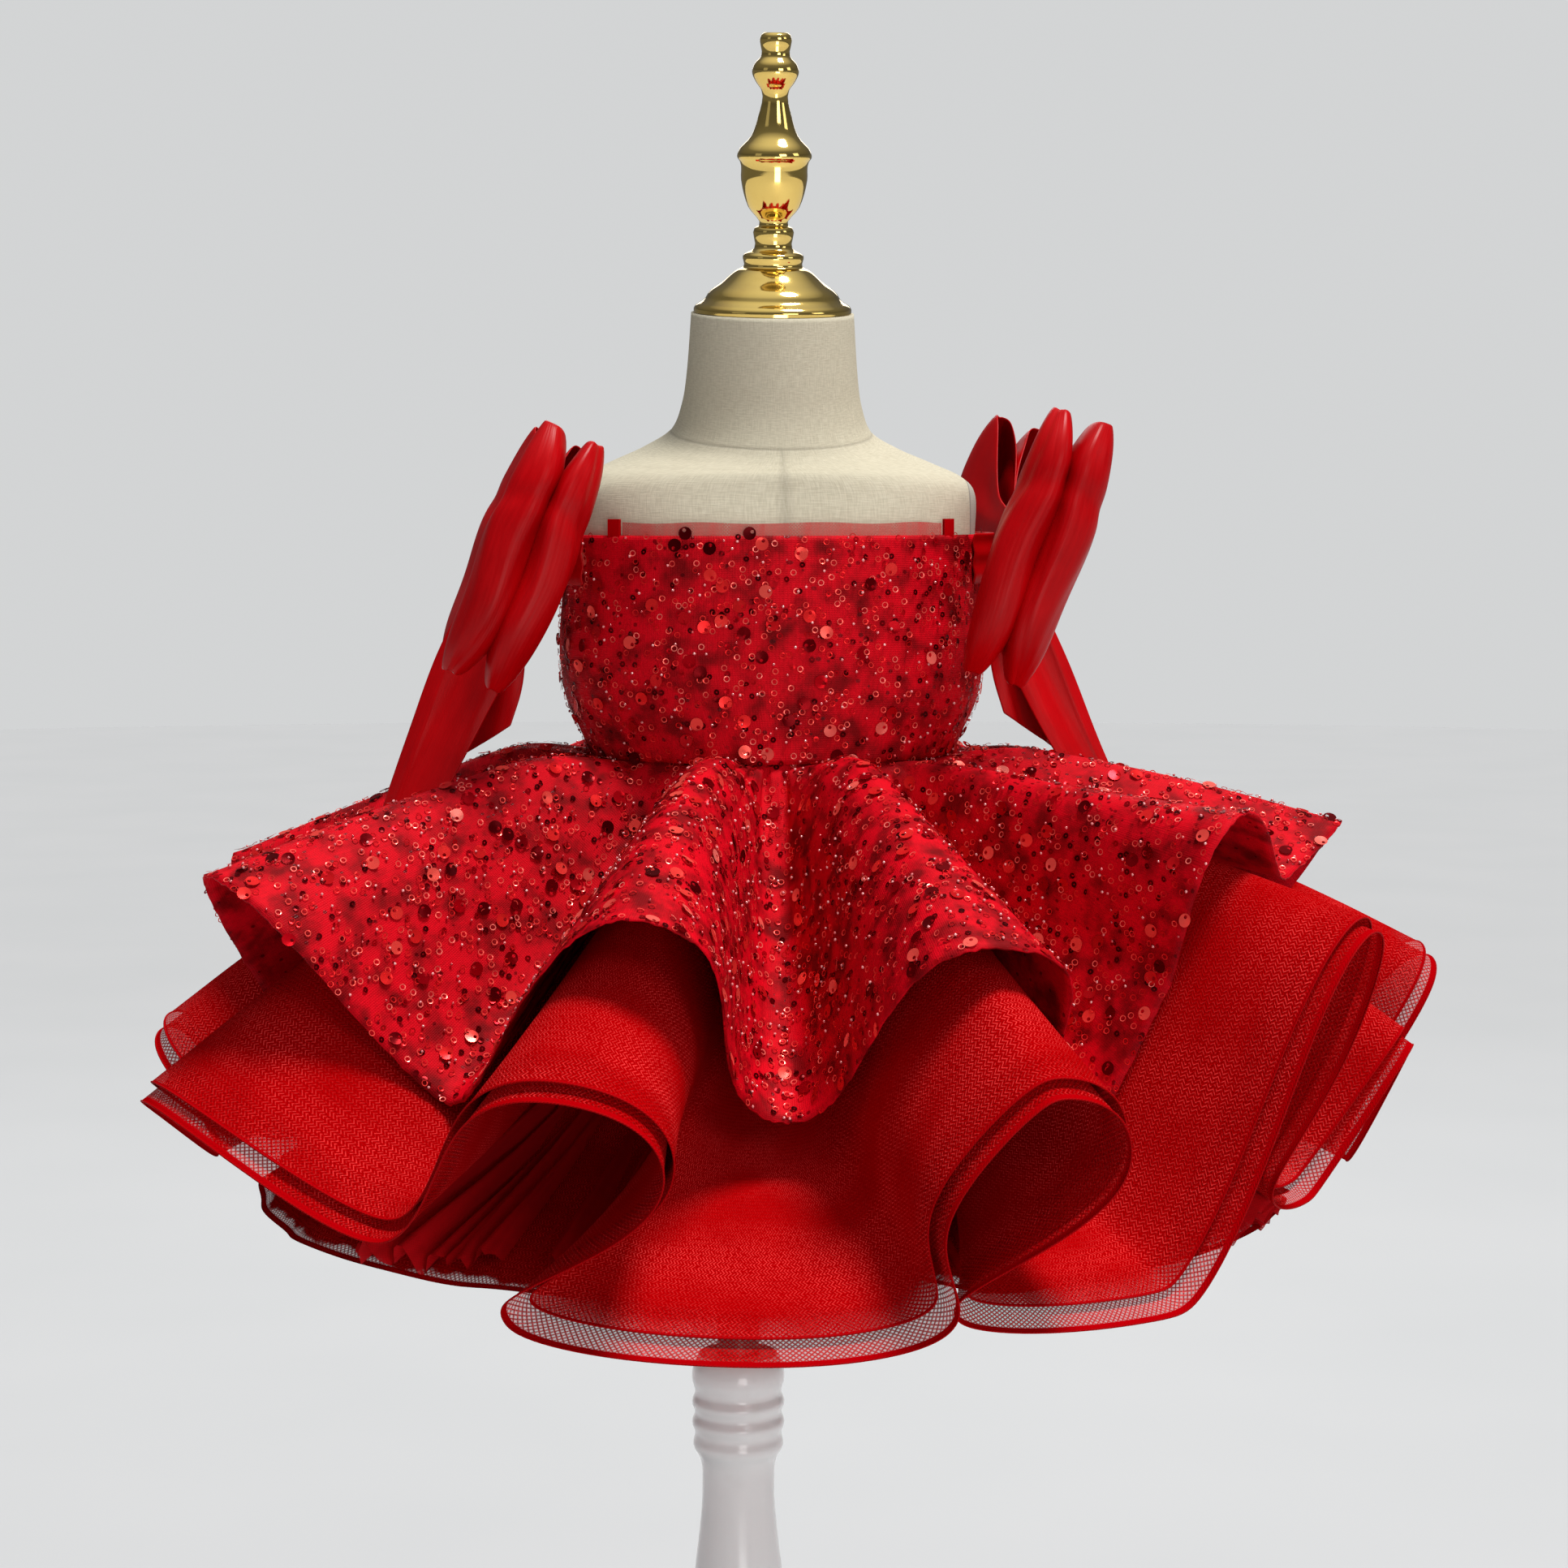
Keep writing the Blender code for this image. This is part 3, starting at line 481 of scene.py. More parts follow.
@dataclass(frozen=True)
class Satin:
    """Heavy red satin with a soft highlight."""

    deep: Colour = (0.220, 0.000, 0.001)
    bright: Colour = (0.620, 0.000, 0.003)
    least_roughness: float = 0.29
    streak_roughness: float = 0.14
    weave_pitch: float = 0.0009

    def material(self) -> Any:
        """Make the finish up.

        Returns:
            The material.
        """
        recipe = Recipe("satin")
        cloth = recipe.cloth()
        cloudy = recipe.place().noise(28.0, 3.0)
        streaks = cloth.stretched(1400, 60).noise(1.0)
        recipe.shade(
            Base_Color=(streaks * 0.4 + cloudy * 0.7).mix(self.deep, self.bright),
            Roughness=streaks * self.streak_roughness + self.least_roughness,
            Specular_IOR_Level=0.12,
        )
        ribs = cloth.split()[0].thread(self.weave_pitch, 0.5)
        recipe.bump(streaks * 1.5 + ribs, 0.12, 0.0003)
        return recipe.block


@dataclass(frozen=True)
class Linen:
    """Natural linen with slubs both ways, and painted shade greying the arm plates."""

    light: Colour = (0.680, 0.630, 0.490)
    dark: Colour = (0.460, 0.415, 0.305)
    plate: Colour = (0.430, 0.410, 0.375)
    plate_rim: Colour = (0.20, 0.18, 0.15)
    seam: Colour = (0.16, 0.14, 0.11)
    plate_x: float = 0.0985
    plate_z: float = 0.745
    rim_width: float = 0.0009

    def material(self) -> Any:
        """Make the finish up.

        Returns:
            The material.
        """
        recipe = Recipe("linen")
        cloth = recipe.cloth()
        down, across = (cloth.stretched(*scale).noise(1.0, 3.0) for scale in ((1500, 150), (150, 1500)))
        slubs = (down + across) * 0.5
        place = recipe.place()
        colour = (slubs.step(0.34, 0.66) * 0.55 + place.noise(14.0, 4.0) * 0.45).mix(self.dark, self.light)
        x, _, z = place.split()
        out = abs(x - BUST_X)
        plate = out.step(self.plate_x, self.plate_x + 0.0006) * z.step(self.plate_z, self.plate_z + 0.002)
        rim_x = self.plate_x + self.rim_width
        rim = plate * (1.0 - out.step(rim_x, rim_x + 0.0004))
        seam = recipe.attribute(SEAM_NAME)
        # The arm plates' grey is a painted shade over the linen; the rim and the seams are dark joints.
        for share, over in ((plate * 0.7, self.plate), (rim * 0.6, self.plate_rim), (seam * 0.75, self.seam)):
            colour = share.mix(colour, over)
        recipe.shade(Base_Color=colour, Roughness=0.9, Specular_IOR_Level=0.2)
        recipe.bump(slubs - seam, 0.45, 0.0005)
        return recipe.block


@dataclass(frozen=True)
class Polished:
    """A smooth hard finish: plating, metal or gloss paint."""

    name: str
    colour: Colour
    worn: Colour
    roughness: float
    metallic: float
    coat: float = 0.0
    mark_scale: float = 40.0

    def material(self) -> Any:
        """Make the finish up.

        Returns:
            The material.
        """
        recipe = Recipe(self.name)
        place = recipe.place()
        marks = place.noise(self.mark_scale, 6.0).step(0.52, 0.78)
        smudge = place.noise(self.mark_scale * 0.4, 3.0)
        recipe.shade(
            Base_Color=(marks * 0.5).mix(self.colour, self.worn),
            Roughness=smudge * (self.roughness * 0.8) + self.roughness * 0.6,
            Metallic=self.metallic,
            Coat_Weight=self.coat,
            Coat_Roughness=0.08,
        )
        recipe.bump(place.noise(160.0), 0.02, 0.0003)
        return recipe.block


@dataclass(frozen=True)
class Wear:
    """What a piece wears: the record's slot, and the materials that fill it."""

    slot: Slot
    materials: tuple[Any, ...]


class Wardrobe:
    """Every finish, made once."""

    def __init__(self) -> None:
        """Make the materials."""

        def wear(slot: Slot, *finishes: Any) -> Wear:
            """Finishes made up for a slot."""
            return Wear(slot, tuple(finish.material() for finish in finishes))

        facing = Tulle("facing_net", (0.70, 0.06, 0.06), 0.62, hem_line=0.0010)
        gilt = Polished("gilt", (1.0, 0.70, 0.20), (0.80, 0.50, 0.13), 0.08, 1.0)
        rod = Polished("rod_metal", (0.16, 0.13, 0.12), (0.30, 0.26, 0.24), 0.35, 1.0)
        white = Polished("white_gloss", (0.90, 0.90, 0.90), (0.80, 0.79, 0.77), 0.22, 0.0, 0.6)
        self.ground = wear(Slot.SEQUIN_CLOTH, SequinGround())
        self.sequins = wear(Slot.SEQUIN_CLOTH, SEQUIN_FOIL, SEED_BEAD)
        self.upper_organza = wear(Slot.HORSEHAIR, Horsehair("upper_organza", 0.024, 0.62, 0.97, 0.0012))
        self.lower_organza = wear(Slot.HORSEHAIR, Horsehair("lower_organza", 0.034, 0.40, 0.98, 0.0030))
        self.edge_cord = wear(Slot.HORSEHAIR, EdgeCord())
        self.tulle = wear(Slot.TULLE, Tulle("tulle", (0.62, 0.001, 0.006), 0.74, thin_below=0.012))
        self.open_net = wear(Slot.TULLE, Horsehair("open_net", 0.007, 0.55, 1.00, 0.0030))
        self.facing_net = wear(Slot.FACING_NET, facing)
        self.satin = wear(Slot.SATIN, Satin())
        self.linen = wear(Slot.LINEN, Linen())
        self.gilt = wear(Slot.GILT, gilt)
        self.rod_metal = wear(Slot.ROD_METAL, rod)
        self.white_gloss = wear(Slot.WHITE_GLOSS, white)


# Shapes


def smooth_through(xs: Sequence[float], ys: Sequence[float], x: Any) -> Any:
    """A smooth curve through points.

    Args:
        xs: The points' places, rising.
        ys: Their values.
        x: Where the curve is read.

    Returns:
        The curve's value there.
    """
    known, values = np.asarray(xs, float), np.asarray(ys, float)
    slopes = np.gradient(values, known)
    i = np.clip(np.searchsorted(known, x, side="right") - 1, 0, len(known) - 2)
    width = known[i + 1] - known[i]
    t = (x - known[i]) / width
    from_start = (2 * t**3 - 3 * t**2 + 1) * values[i] + (t**3 - 2 * t**2 + t) * width * slopes[i]
    return from_start + (3 * t**2 - 2 * t**3) * values[i + 1] + (t**3 - t**2) * width * slopes[i + 1]


def smooth_along(values: Sequence[float], share: Any) -> Any:
    """A smooth curve through values that stand at even shares from 0 to 1."""
    return smooth_through(np.linspace(0, 1, len(values)), values, share)


def unit(vectors: Array) -> Array:
    """Vectors brought to length 1."""
    return vectors / np.maximum(np.linalg.norm(vectors, axis=-1, keepdims=True), 1e-12)


def bell(distance: Any, width: float) -> Any:
    """A smooth hump: 1 where the distance is 0, and fading over a width."""
    return np.exp(-((distance / width) ** 2))


def lengths_along(points: Array) -> Array:
    """How far each point of a path lies from its start, along the path."""
    return np.concatenate([[0.0], np.cumsum(np.linalg.norm(np.diff(points, axis=0), axis=-1))])


def oval_radius(angle: Array, half: tuple[float, float]) -> Array:
    """How far an oval of half a width and half a depth lies from its middle, at each angle."""
    return 1 / np.sqrt((np.sin(angle) / half[0]) ** 2 + (np.cos(angle) / half[1]) ** 2)


def round_body(angle: Array, radius: Array, height: Array) -> Array:
    """Points round the body's upright middle line. Angles run from the front towards +X."""
    return np.stack([BUST_X + radius * np.sin(angle), -radius * np.cos(angle), height], axis=-1)


def rounded_oval(angle: Array, half_width: float, half_depth: float, squareness: float) -> list[Array]:
    """The x and y of a rounded oval's points. Squareness is 2 for an ellipse and more for fuller corners."""
    waves = ((np.sin(angle), half_width), (-np.cos(angle), half_depth))
    return [np.sign(wave) * np.abs(wave) ** (2 / squareness) * half for wave, half in waves]


def quads(grid: Array) -> Faces:
    """The faces of a sheet, turned outwards.

    Args:
        grid: Its points by row and column.

    Returns:
        The numbers of each face's corners.
    """
    number = np.arange(grid.shape[0] * grid.shape[1]).reshape(grid.shape[:2])
    corners = np.stack([number[:-1, :-1], number[1:, :-1], number[1:, 1:], number[:-1, 1:]], axis=-1)
    return [tuple(face) for face in corners.reshape(-1, 4).tolist()]


class Sheet:
    """A sheet of points: rows run down the cloth and columns towards +X in front."""

    def __init__(self, grid: Array, ring: bool = False) -> None:
        """Hold the points and find each one's outward direction.

        Args:
            grid: Points by row and column.
            ring: Whether the sheet runs all round, so that its last column is made to repeat the first.
        """
        self.grid = np.array(grid)
        self.ring = ring
        if ring:
            self.grid[:, -1] = self.grid[:, 0]
            points = self.grid[:, :-1]
            around = np.roll(points, -1, axis=1) - np.roll(points, 1, axis=1)
        else:
            points = self.grid
            around = np.gradient(points, axis=1)
        normals = unit(np.cross(np.gradient(points, axis=0), around))
        self.normals = np.concatenate([normals, normals[:, :1]], axis=1) if ring else normals

    def moved(self, distances: Any) -> Sheet:
        """A sheet that lies outside this one by a distance at each row or point."""
        far = distances[:, None, None] if distances.ndim == 1 else distances[..., None]
        return Sheet(self.grid + self.normals * far, self.ring)

    def columns(self, first: int, last: int) -> Sheet:
        """Some of the sheet's columns, with the normals of the whole.

        Args:
            first: The first column's number.
            last: The last column's number.

        Returns:
            The part.
        """
        part = Sheet(self.grid[:, first : last + 1])
        part.normals = self.normals[:, first : last + 1]
        return part

    def uv(self) -> Array:
        """A place for each point: metres along the hem from its start, and metres up from it.

        Returns:
            The places by row and column.
        """
        down = np.linalg.norm(np.diff(self.grid, axis=0), axis=-1)
        up = np.concatenate([np.cumsum(down[::-1], axis=0)[::-1], np.zeros((1, self.grid.shape[1]))])
        return np.stack([np.broadcast_to(lengths_along(self.grid[-1]), up.shape), up], axis=-1)

    def areas(self) -> Array:
        """The area of each of the sheet's faces."""
        diagonals = self.grid[1:, 1:] - self.grid[:-1, :-1], self.grid[1:, :-1] - self.grid[:-1, 1:]
        return np.linalg.norm(np.cross(*diagonals), axis=-1) / 2

    def outside(self, inner: Sheet, clearance: float) -> Sheet:
        """This sheet, pushed off another that it lies on.

        Args:
            inner: The other sheet.
            clearance: The least distance on its outer side.

        Returns:
            The sheet, moved where it lay too near or behind.
        """
        faces = [face[:3] for face in quads(inner.grid)]
        faces += [(face[0], *face[2:]) for face in quads(inner.grid)]
        tree = BVHTree.FromPolygons([Vector(point) for point in inner.grid.reshape(-1, 3)], faces)
        kept = self.grid.copy()
        for index in np.ndindex(kept.shape[:-1]):
            point = Vector(kept[index])
            nearest, normal, _, _ = tree.find_nearest(point)
            height = (point - nearest).dot(normal)
            if height < clearance:
                kept[index] = point + normal * (clearance - height)
        return Sheet(kept, self.ring)


@dataclass(frozen=True)
class Flute:
    """One flute of a skirt layer, and the valley that follows it."""

    ridge_deg: float
    ridge_r: float
    ridge_z: float
    crown_right: float
    crown_left: float
    tuck_right: float
    tuck_left: float
    valley_deg: float
    valley_r: float
    valley_z: float


@dataclass(frozen=True)
class Run:
    """How far crests and valleys have run out and down, at even shares of the length."""

    ridge_out: tuple[float, ...]
    ridge_down: tuple[float, ...]
    valley_out: tuple[float, ...]
    valley_down: tuple[float, ...]


def flutes(*rows: tuple[float, ...]) -> tuple[Flute, ...]:
    """Flutes from rows of their values."""
    return tuple(Flute(*row) for row in rows)


@dataclass(frozen=True)
class FlutedLayer:
    """One fluted layer of the skirt, as a surface over flute, place in the flute and length."""

    waist: tuple[float, float]
    waist_z: float
    fold_power: float
    foot_power: int
    softening: int
    flutes: tuple[Flute, ...]
    run: Run
    column_length: float = 0.0070
    column_turn_deg: float = 9.0

    def most_swing(self, power: float) -> float:
        """The largest sideways swing of a raised cosine to a power, over one flute."""
        place = np.linspace(0, 1, 201)
        return float(np.max(np.sin(np.pi * place) * ((1 + np.cos(np.pi * place)) / 2) ** power))

    def point(self, k: int, place: Array, length: Array) -> Array:
        """Points on a flute.

        Args:
            k: The flute's number.
            place: From -1 in one valley over 0 at the crest to 1 in the next.
            length: From 0 at the waist to 1 at the hem.

        Returns:
            The points.
        """
        flute, before, run = self.flutes[k], self.flutes[k - 1], self.run
        start_deg = before.valley_deg - (360 if k == 0 else 0)
        lift = (1 + np.cos(np.pi * place)) / 2
        half_deg = (flute.valley_deg - start_deg) / 2
        skew_deg = (flute.valley_deg + start_deg) / 2 - flute.ridge_deg
        angle = np.radians(flute.ridge_deg + half_deg * place + skew_deg * (1 - lift))
        right = place < 0
        waist_r = oval_radius(angle, self.waist)
        valley_end_r = np.where(right, before.valley_r, flute.valley_r)
        valley_end_z = np.where(right, before.valley_z, flute.valley_z)
        ridge_r = waist_r + (flute.ridge_r - waist_r) * smooth_along(run.ridge_out, length)
        valley_r = waist_r + (valley_end_r - waist_r) * smooth_along(run.valley_out, length)
        ridge_z = self.waist_z + (flute.ridge_z - self.waist_z) * smooth_along(run.ridge_down, length)
        valley_z = self.waist_z + (valley_end_z - self.waist_z) * smooth_along(run.valley_down, length)
        radius = valley_r + (ridge_r - valley_r) * lift
        height = valley_z + (ridge_z - valley_z) * lift
        head = np.where(right, flute.crown_right, flute.crown_left) * lift**2 / self.most_swing(2)
        foot = np.where(right, flute.tuck_right, flute.tuck_left) * (1 - lift) ** self.foot_power
        swing = np.sin(np.pi * place) * (head - foot / self.most_swing(self.foot_power))
        return round_body(angle + swing * length**self.fold_power / radius, radius, height)

    def places(self, k: int) -> Array:
        """Places across a flute, closer where its hem bends.

        Args:
            k: The flute's number.

        Returns:
            The places, from -1 to 1.
        """
        fine = np.linspace(-1, 1, 801)
        steps = np.diff(self.point(k, fine, np.ones_like(fine)), axis=0)
        ways = unit(steps)
        turns = np.arccos(np.clip(np.sum(ways[1:] * ways[:-1], axis=1), -1, 1))
        effort = np.linalg.norm(steps, axis=1) / self.column_length
        effort[1:] += turns / math.radians(self.column_turn_deg)
        travelled = np.concatenate([[0], np.cumsum(effort)])
        count = 2 * round(travelled[-1] / 2)
        return np.interp(np.linspace(0, travelled[-1], count + 1), travelled, fine)

    def sheet(self, lengths: Array) -> tuple[Sheet, list[int]]:
        """The whole layer.

        Args:
            lengths: The rows' shares of the length, from 0 at the waist.

        Returns:
            The sheet and the columns at which its flutes begin, end last.
        """
        strips: list[Array] = []
        starts = [0]
        for k in range(len(self.flutes)):
            places = self.places(k)[None, (1 if strips else 0) :]
            rows = np.broadcast_to(lengths[:, None], (len(lengths), places.size))
            strips.append(self.point(k, places, rows))
            starts.append(starts[-1] + places.size - (1 if k == 0 else 0))
        ring = np.concatenate(strips, axis=1)[:, :-1]
        for _ in range(self.softening):
            ring = (np.roll(ring, 1, axis=1) + 2 * ring + np.roll(ring, -1, axis=1)) / 4
        return Sheet(np.concatenate([ring, ring[:, :1]], axis=1), ring=True), starts


OVERSKIRT = FlutedLayer(
    waist=(0.0914, 0.0748),
    waist_z=0.6525,
    fold_power=2.0,
    foot_power=2,
    softening=5,
    flutes=flutes(
        (-66, 0.308, 0.608, 0.000, 0.012, -0.010, 0.000, -47, 0.230, 0.502),
        (-19, 0.285, 0.604, 0.000, 0.012, 0.000, 0.006, -4, 0.208, 0.500),
        (13, 0.285, 0.590, 0.004, 0.018, 0.004, 0.016, 36, 0.236, 0.504),
        (46, 0.282, 0.640, 0.010, 0.000, 0.010, 0.000, 61, 0.272, 0.600),
        (74, 0.292, 0.622, 0.000, 0.000, 0.000, 0.000, 80, 0.250, 0.560),
        (93, 0.290, 0.612, 0.004, 0.004, 0.002, 0.002, 112, 0.212, 0.516),
        (134, 0.285, 0.600, 0.006, 0.008, 0.002, 0.004, 155, 0.204, 0.506),
        (176, 0.285, 0.604, 0.006, 0.008, 0.002, 0.004, 197, 0.204, 0.504),
        (218, 0.285, 0.600, 0.006, 0.006, 0.004, 0.002, 238, 0.204, 0.508),
        (259, 0.285, 0.598, 0.004, 0.004, 0.000, 0.000, 276, 0.252, 0.520),
    ),
    run=Run(
        ridge_out=(0.000, 0.210, 0.470, 0.744, 1.000),
        ridge_down=(0.000, -0.090, 0.190, 0.577, 1.000),
        valley_out=(0.000, 0.130, 0.363, 0.662, 1.000),
        valley_down=(0.000, 0.216, 0.500, 0.760, 1.000),
    ),
)
UNDERSKIRT = FlutedLayer(
    waist=(0.0888, 0.0723),
    waist_z=0.647,
    fold_power=3.0,
    foot_power=4,
    softening=12,
    flutes=flutes(
        (-66, 0.333, 0.510, 0.010, 0.000, 0.000, 0.000, -43, 0.290, 0.460),
        (-23, 0.332, 0.541, 0.008, 0.024, 0.000, 0.088, -6, 0.300, 0.424),
        (15, 0.335, 0.541, -0.004, 0.012, 0.048, 0.088, 31, 0.294, 0.428),
        (50, 0.330, 0.592, 0.010, 0.010, 0.000, 0.045, 60, 0.280, 0.452),
        (70, 0.325, 0.522, 0.004, 0.004, 0.000, 0.000, 80, 0.290, 0.450),
        (91, 0.350, 0.548, 0.012, 0.012, 0.010, 0.010, 112, 0.295, 0.436),
        (133, 0.335, 0.530, 0.016, 0.024, 0.020, 0.040, 154, 0.300, 0.428),
        (175, 0.335, 0.536, 0.020, 0.020, 0.030, 0.030, 196, 0.300, 0.424),
        (217, 0.335, 0.530, 0.024, 0.016, 0.040, 0.020, 238, 0.295, 0.432),
        (259, 0.322, 0.512, 0.012, 0.010, 0.010, 0.006, 276, 0.278, 0.462),
    ),
    run=Run(
        ridge_out=(0.000, 0.163, 0.392, 0.612, 0.816, 1.000),
        ridge_down=(0.000, 0.080, 0.260, 0.510, 0.756, 1.000),
        valley_out=(0.000, 0.062, 0.194, 0.393, 0.668, 1.000),
        valley_down=(0.000, 0.220, 0.440, 0.650, 0.840, 1.000),
    ),
)


# Making pieces


def deselect() -> None:
    """Leave nothing selected."""
    bpy.ops.object.select_all(action="DESELECT")


def apply_all(piece: Obj) -> None:
    """Apply a piece's modifiers in order.

    Args:
        piece: The piece.
    """
    deselect()
    piece.select_set(True)
    bpy.context.view_layer.objects.active = piece
    for modifier in list(piece.modifiers):
        bpy.ops.object.modifier_apply(modifier=modifier.name)


def weld(piece: Obj, distance: float) -> None:
    """Join a piece's points that lie on each other."""
    piece.modifiers.new("seam", "WELD").merge_threshold = distance
    apply_all(piece)


def piece_from(name: str, points: Array, faces: Faces, uv: Array) -> Obj:
    """A smooth piece with a UV place for each of its points.

    Args:
        name: The piece's name.
        points: Its points.
        faces: Its faces.
        uv: A UV place for each point.

    Returns:
        The piece.
    """
    mesh = bpy.data.meshes.new(name)
    mesh.from_pydata(points.reshape(-1, 3).tolist(), [], faces)
    layer = mesh.uv_layers.new(name=UV_NAME)
    corners = np.empty(len(mesh.loops), np.int32)
    mesh.loops.foreach_get("vertex_index", corners)
    layer.data.foreach_set("uv", uv.reshape(-1, 2)[corners].astype(np.float32).ravel())
    mesh.shade_smooth()
    piece = bpy.data.objects.new(name, mesh)
    bpy.context.scene.collection.objects.link(piece)
    return piece


def mark_points(piece: Obj, name: str, values: Array) -> None:
    """Write a number on each point of a piece."""
    marks = piece.data.attributes.new(name, "FLOAT", "POINT")
    marks.data.foreach_set("value", values.astype(np.float32))


def unwrap_by_place(piece: Obj) -> None:
    """Give a small piece a UV map read straight from its points, seen from the front.

    Args:
        piece: The piece.
    """
    mesh = piece.data
    layer = mesh.uv_layers.get(UV_NAME) or mesh.uv_layers.new(name=UV_NAME)
    for loop in mesh.loops:
        point = mesh.vertices[loop.vertex_index].co
        layer.data[loop.index].uv = (point.x + point.y, point.z)


def finish_piece(piece: Obj, wear: Wear, *nodes: str) -> Obj:
    """Dress a piece, fix it to the part and hide the nodes that it stands for.

    Args:
        piece: The piece.
        wear: What it wears.
        nodes: The nodes that it stands for.

    Returns:
        The piece.
    """
    for material in wear.materials:
        piece.data.materials.append(material)
    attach(piece, "root")
    if nodes:
        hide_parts(*nodes)
    LOG.info("%s: %d faces", piece.name, len(piece.data.polygons))
    return piece


@dataclass
class Panel:
    """A panel of cloth under a sheet.

    With a wall of 0 it is a single layer. Rounded says how often the wall is subdivided at its edges.
    """

    name: str
    face: Sheet
    wear: Wear
    held: str
    rests_on: str
    nodes: tuple[str, ...] = ()
    sewn_on: tuple[Obj, ...] = ()
    wall: float = 0.0
    rounded: int = 0

    def build(self) -> None:
        """Make the panel and declare its cloth."""
        piece = piece_from(self.name, self.face.grid, quads(self.face.grid), self.face.uv())
        if self.wall:
            self.thicken(piece)
        finish_piece(piece, self.wear, *self.nodes)
        self.declare(piece)

    def thicken(self, piece: Obj) -> None:
        """Give the panel its wall.

        Args:
            piece: The panel's single layer.
        """
        solidify = piece.modifiers.new("wall", "SOLIDIFY")
        solidify.thickness = self.wall
        solidify.offset = -1.0
        if self.rounded:
            smooth = piece.modifiers.new("rounding", "SUBSURF")
            smooth.levels = self.rounded
            smooth.render_levels = self.rounded
            smooth.boundary_smooth = "ALL"
        apply_all(piece)
        piece.data.shade_smooth()

    def declare(self, piece: Obj) -> None:
        """Say how large the panel is cut, and its area.

        Args:
            piece: The finished panel.
        """
        rows = np.linalg.norm(np.diff(self.face.grid, axis=1), axis=-1).sum(axis=1)
        columns = np.linalg.norm(np.diff(self.face.grid, axis=0), axis=-1).sum(axis=0)
        width, height = float(rows.max()), max(float(columns.mean()), SHORTEST_CUT)
        area = min(float(self.face.areas().sum()), width * height)
        LOG.info("%s: %.3f m by %.3f m, area %.4f m2", piece.name, width, height, area)


def hem_cord(name: str, panel: Sheet, radius: float, wear: Wear, sides: int = 6) -> Obj:
    """A rolled cord along a panel's hem.

    Args:
        name: The cord's name.
        panel: The panel.
        radius: The cord's radius.
        wear: What it wears.
        sides: How many faces go round it.

    Returns:
        The cord.
    """
    path, normals = panel.grid[-1], panel.normals[-1]
    ways = unit(np.gradient(path, axis=0))
    across = unit(normals - ways * np.sum(normals * ways, axis=-1, keepdims=True))
    turns = np.linspace(0, 2 * np.pi, sides + 1)[:, None, None]
    grid = path + radius * (np.cos(turns) * across + np.sin(turns) * np.cross(ways, across))
    around = np.linspace(0, 2 * np.pi * radius, sides + 1)[:, None]
    uv = np.stack(np.broadcast_arrays(lengths_along(path)[None, :], around), axis=-1)
    cord = piece_from(name, grid, quads(grid), uv)
    weld(cord, radius * 0.01)
    return finish_piece(cord, wear)


@dataclass(frozen=True)
class Spangle:
    """One kind of sequin or bead, and how it is sewn on."""

    radius: float
    hole: float
    hole_shift: float
    sides: int
    lift: float
    tilt_deg: float
    spacing: float
    per_m2: float
    tint_power: float
    tint_low: float = 0.0
    tint_high: float = 1.0
    bead: bool = False

    def template(self) -> tuple[Array, Faces]:
        """The shape at the origin with its face towards +Z.

        Returns:
            Its points and its faces.
        """
        n = self.sides
        turns = np.linspace(0, 2 * np.pi, n, endpoint=False)
        circle = np.stack([np.cos(turns), np.sin(turns)], axis=-1) * self.radius
        if self.bead:
            outline = ((0.45, -0.8), (1.0, 0.0), (0.62, 0.8))
            rings = [(circle * wide, self.radius * 0.8 * up) for wide, up in outline]
        else:
            hole = circle / self.radius * self.hole + (0.0, self.hole_shift)
            rings = [(circle, self.radius * 0.06), (hole, 0.0)]
        points = np.concatenate([np.column_stack([ring, np.full(n, height)]) for ring, height in rings])
        faces: Faces = []
        for start in range(0, n * (len(rings) - 1), n):
            for j in range(n):
                k = (j + 1) % n
                faces.append((start + j, start + k, start + n + k, start + n + j))
        if self.bead:
            faces.append(tuple(range(2 * n, 3 * n)))
        return points, faces


# Each kind's tint range sets how many come out near 0, a painted dark reflection, and near 1, a painted
# highlight.
DISC = Spangle(0.0033, 0.0009, 0.0016, 16, 0.0010, 15, 0.0074, 2700, 0.75, 0.04, 0.97)
RING = Spangle(0.0016, 0.00114, 0.0, 10, 0.0008, 17, 0.0030, 24000, 0.8, 0.50, 0.96)
CUP = Spangle(0.0015, 0.0005, 0.0, 8, 0.0005, 20, 0.0031, 9000, 1.2, 0.0, 0.55)
BEAD = Spangle(0.0008, 0.0, 0.0, 6, 0.0010, 40, 0.0026, 7500, 0.7, 0.3, 1.0, bead=True)


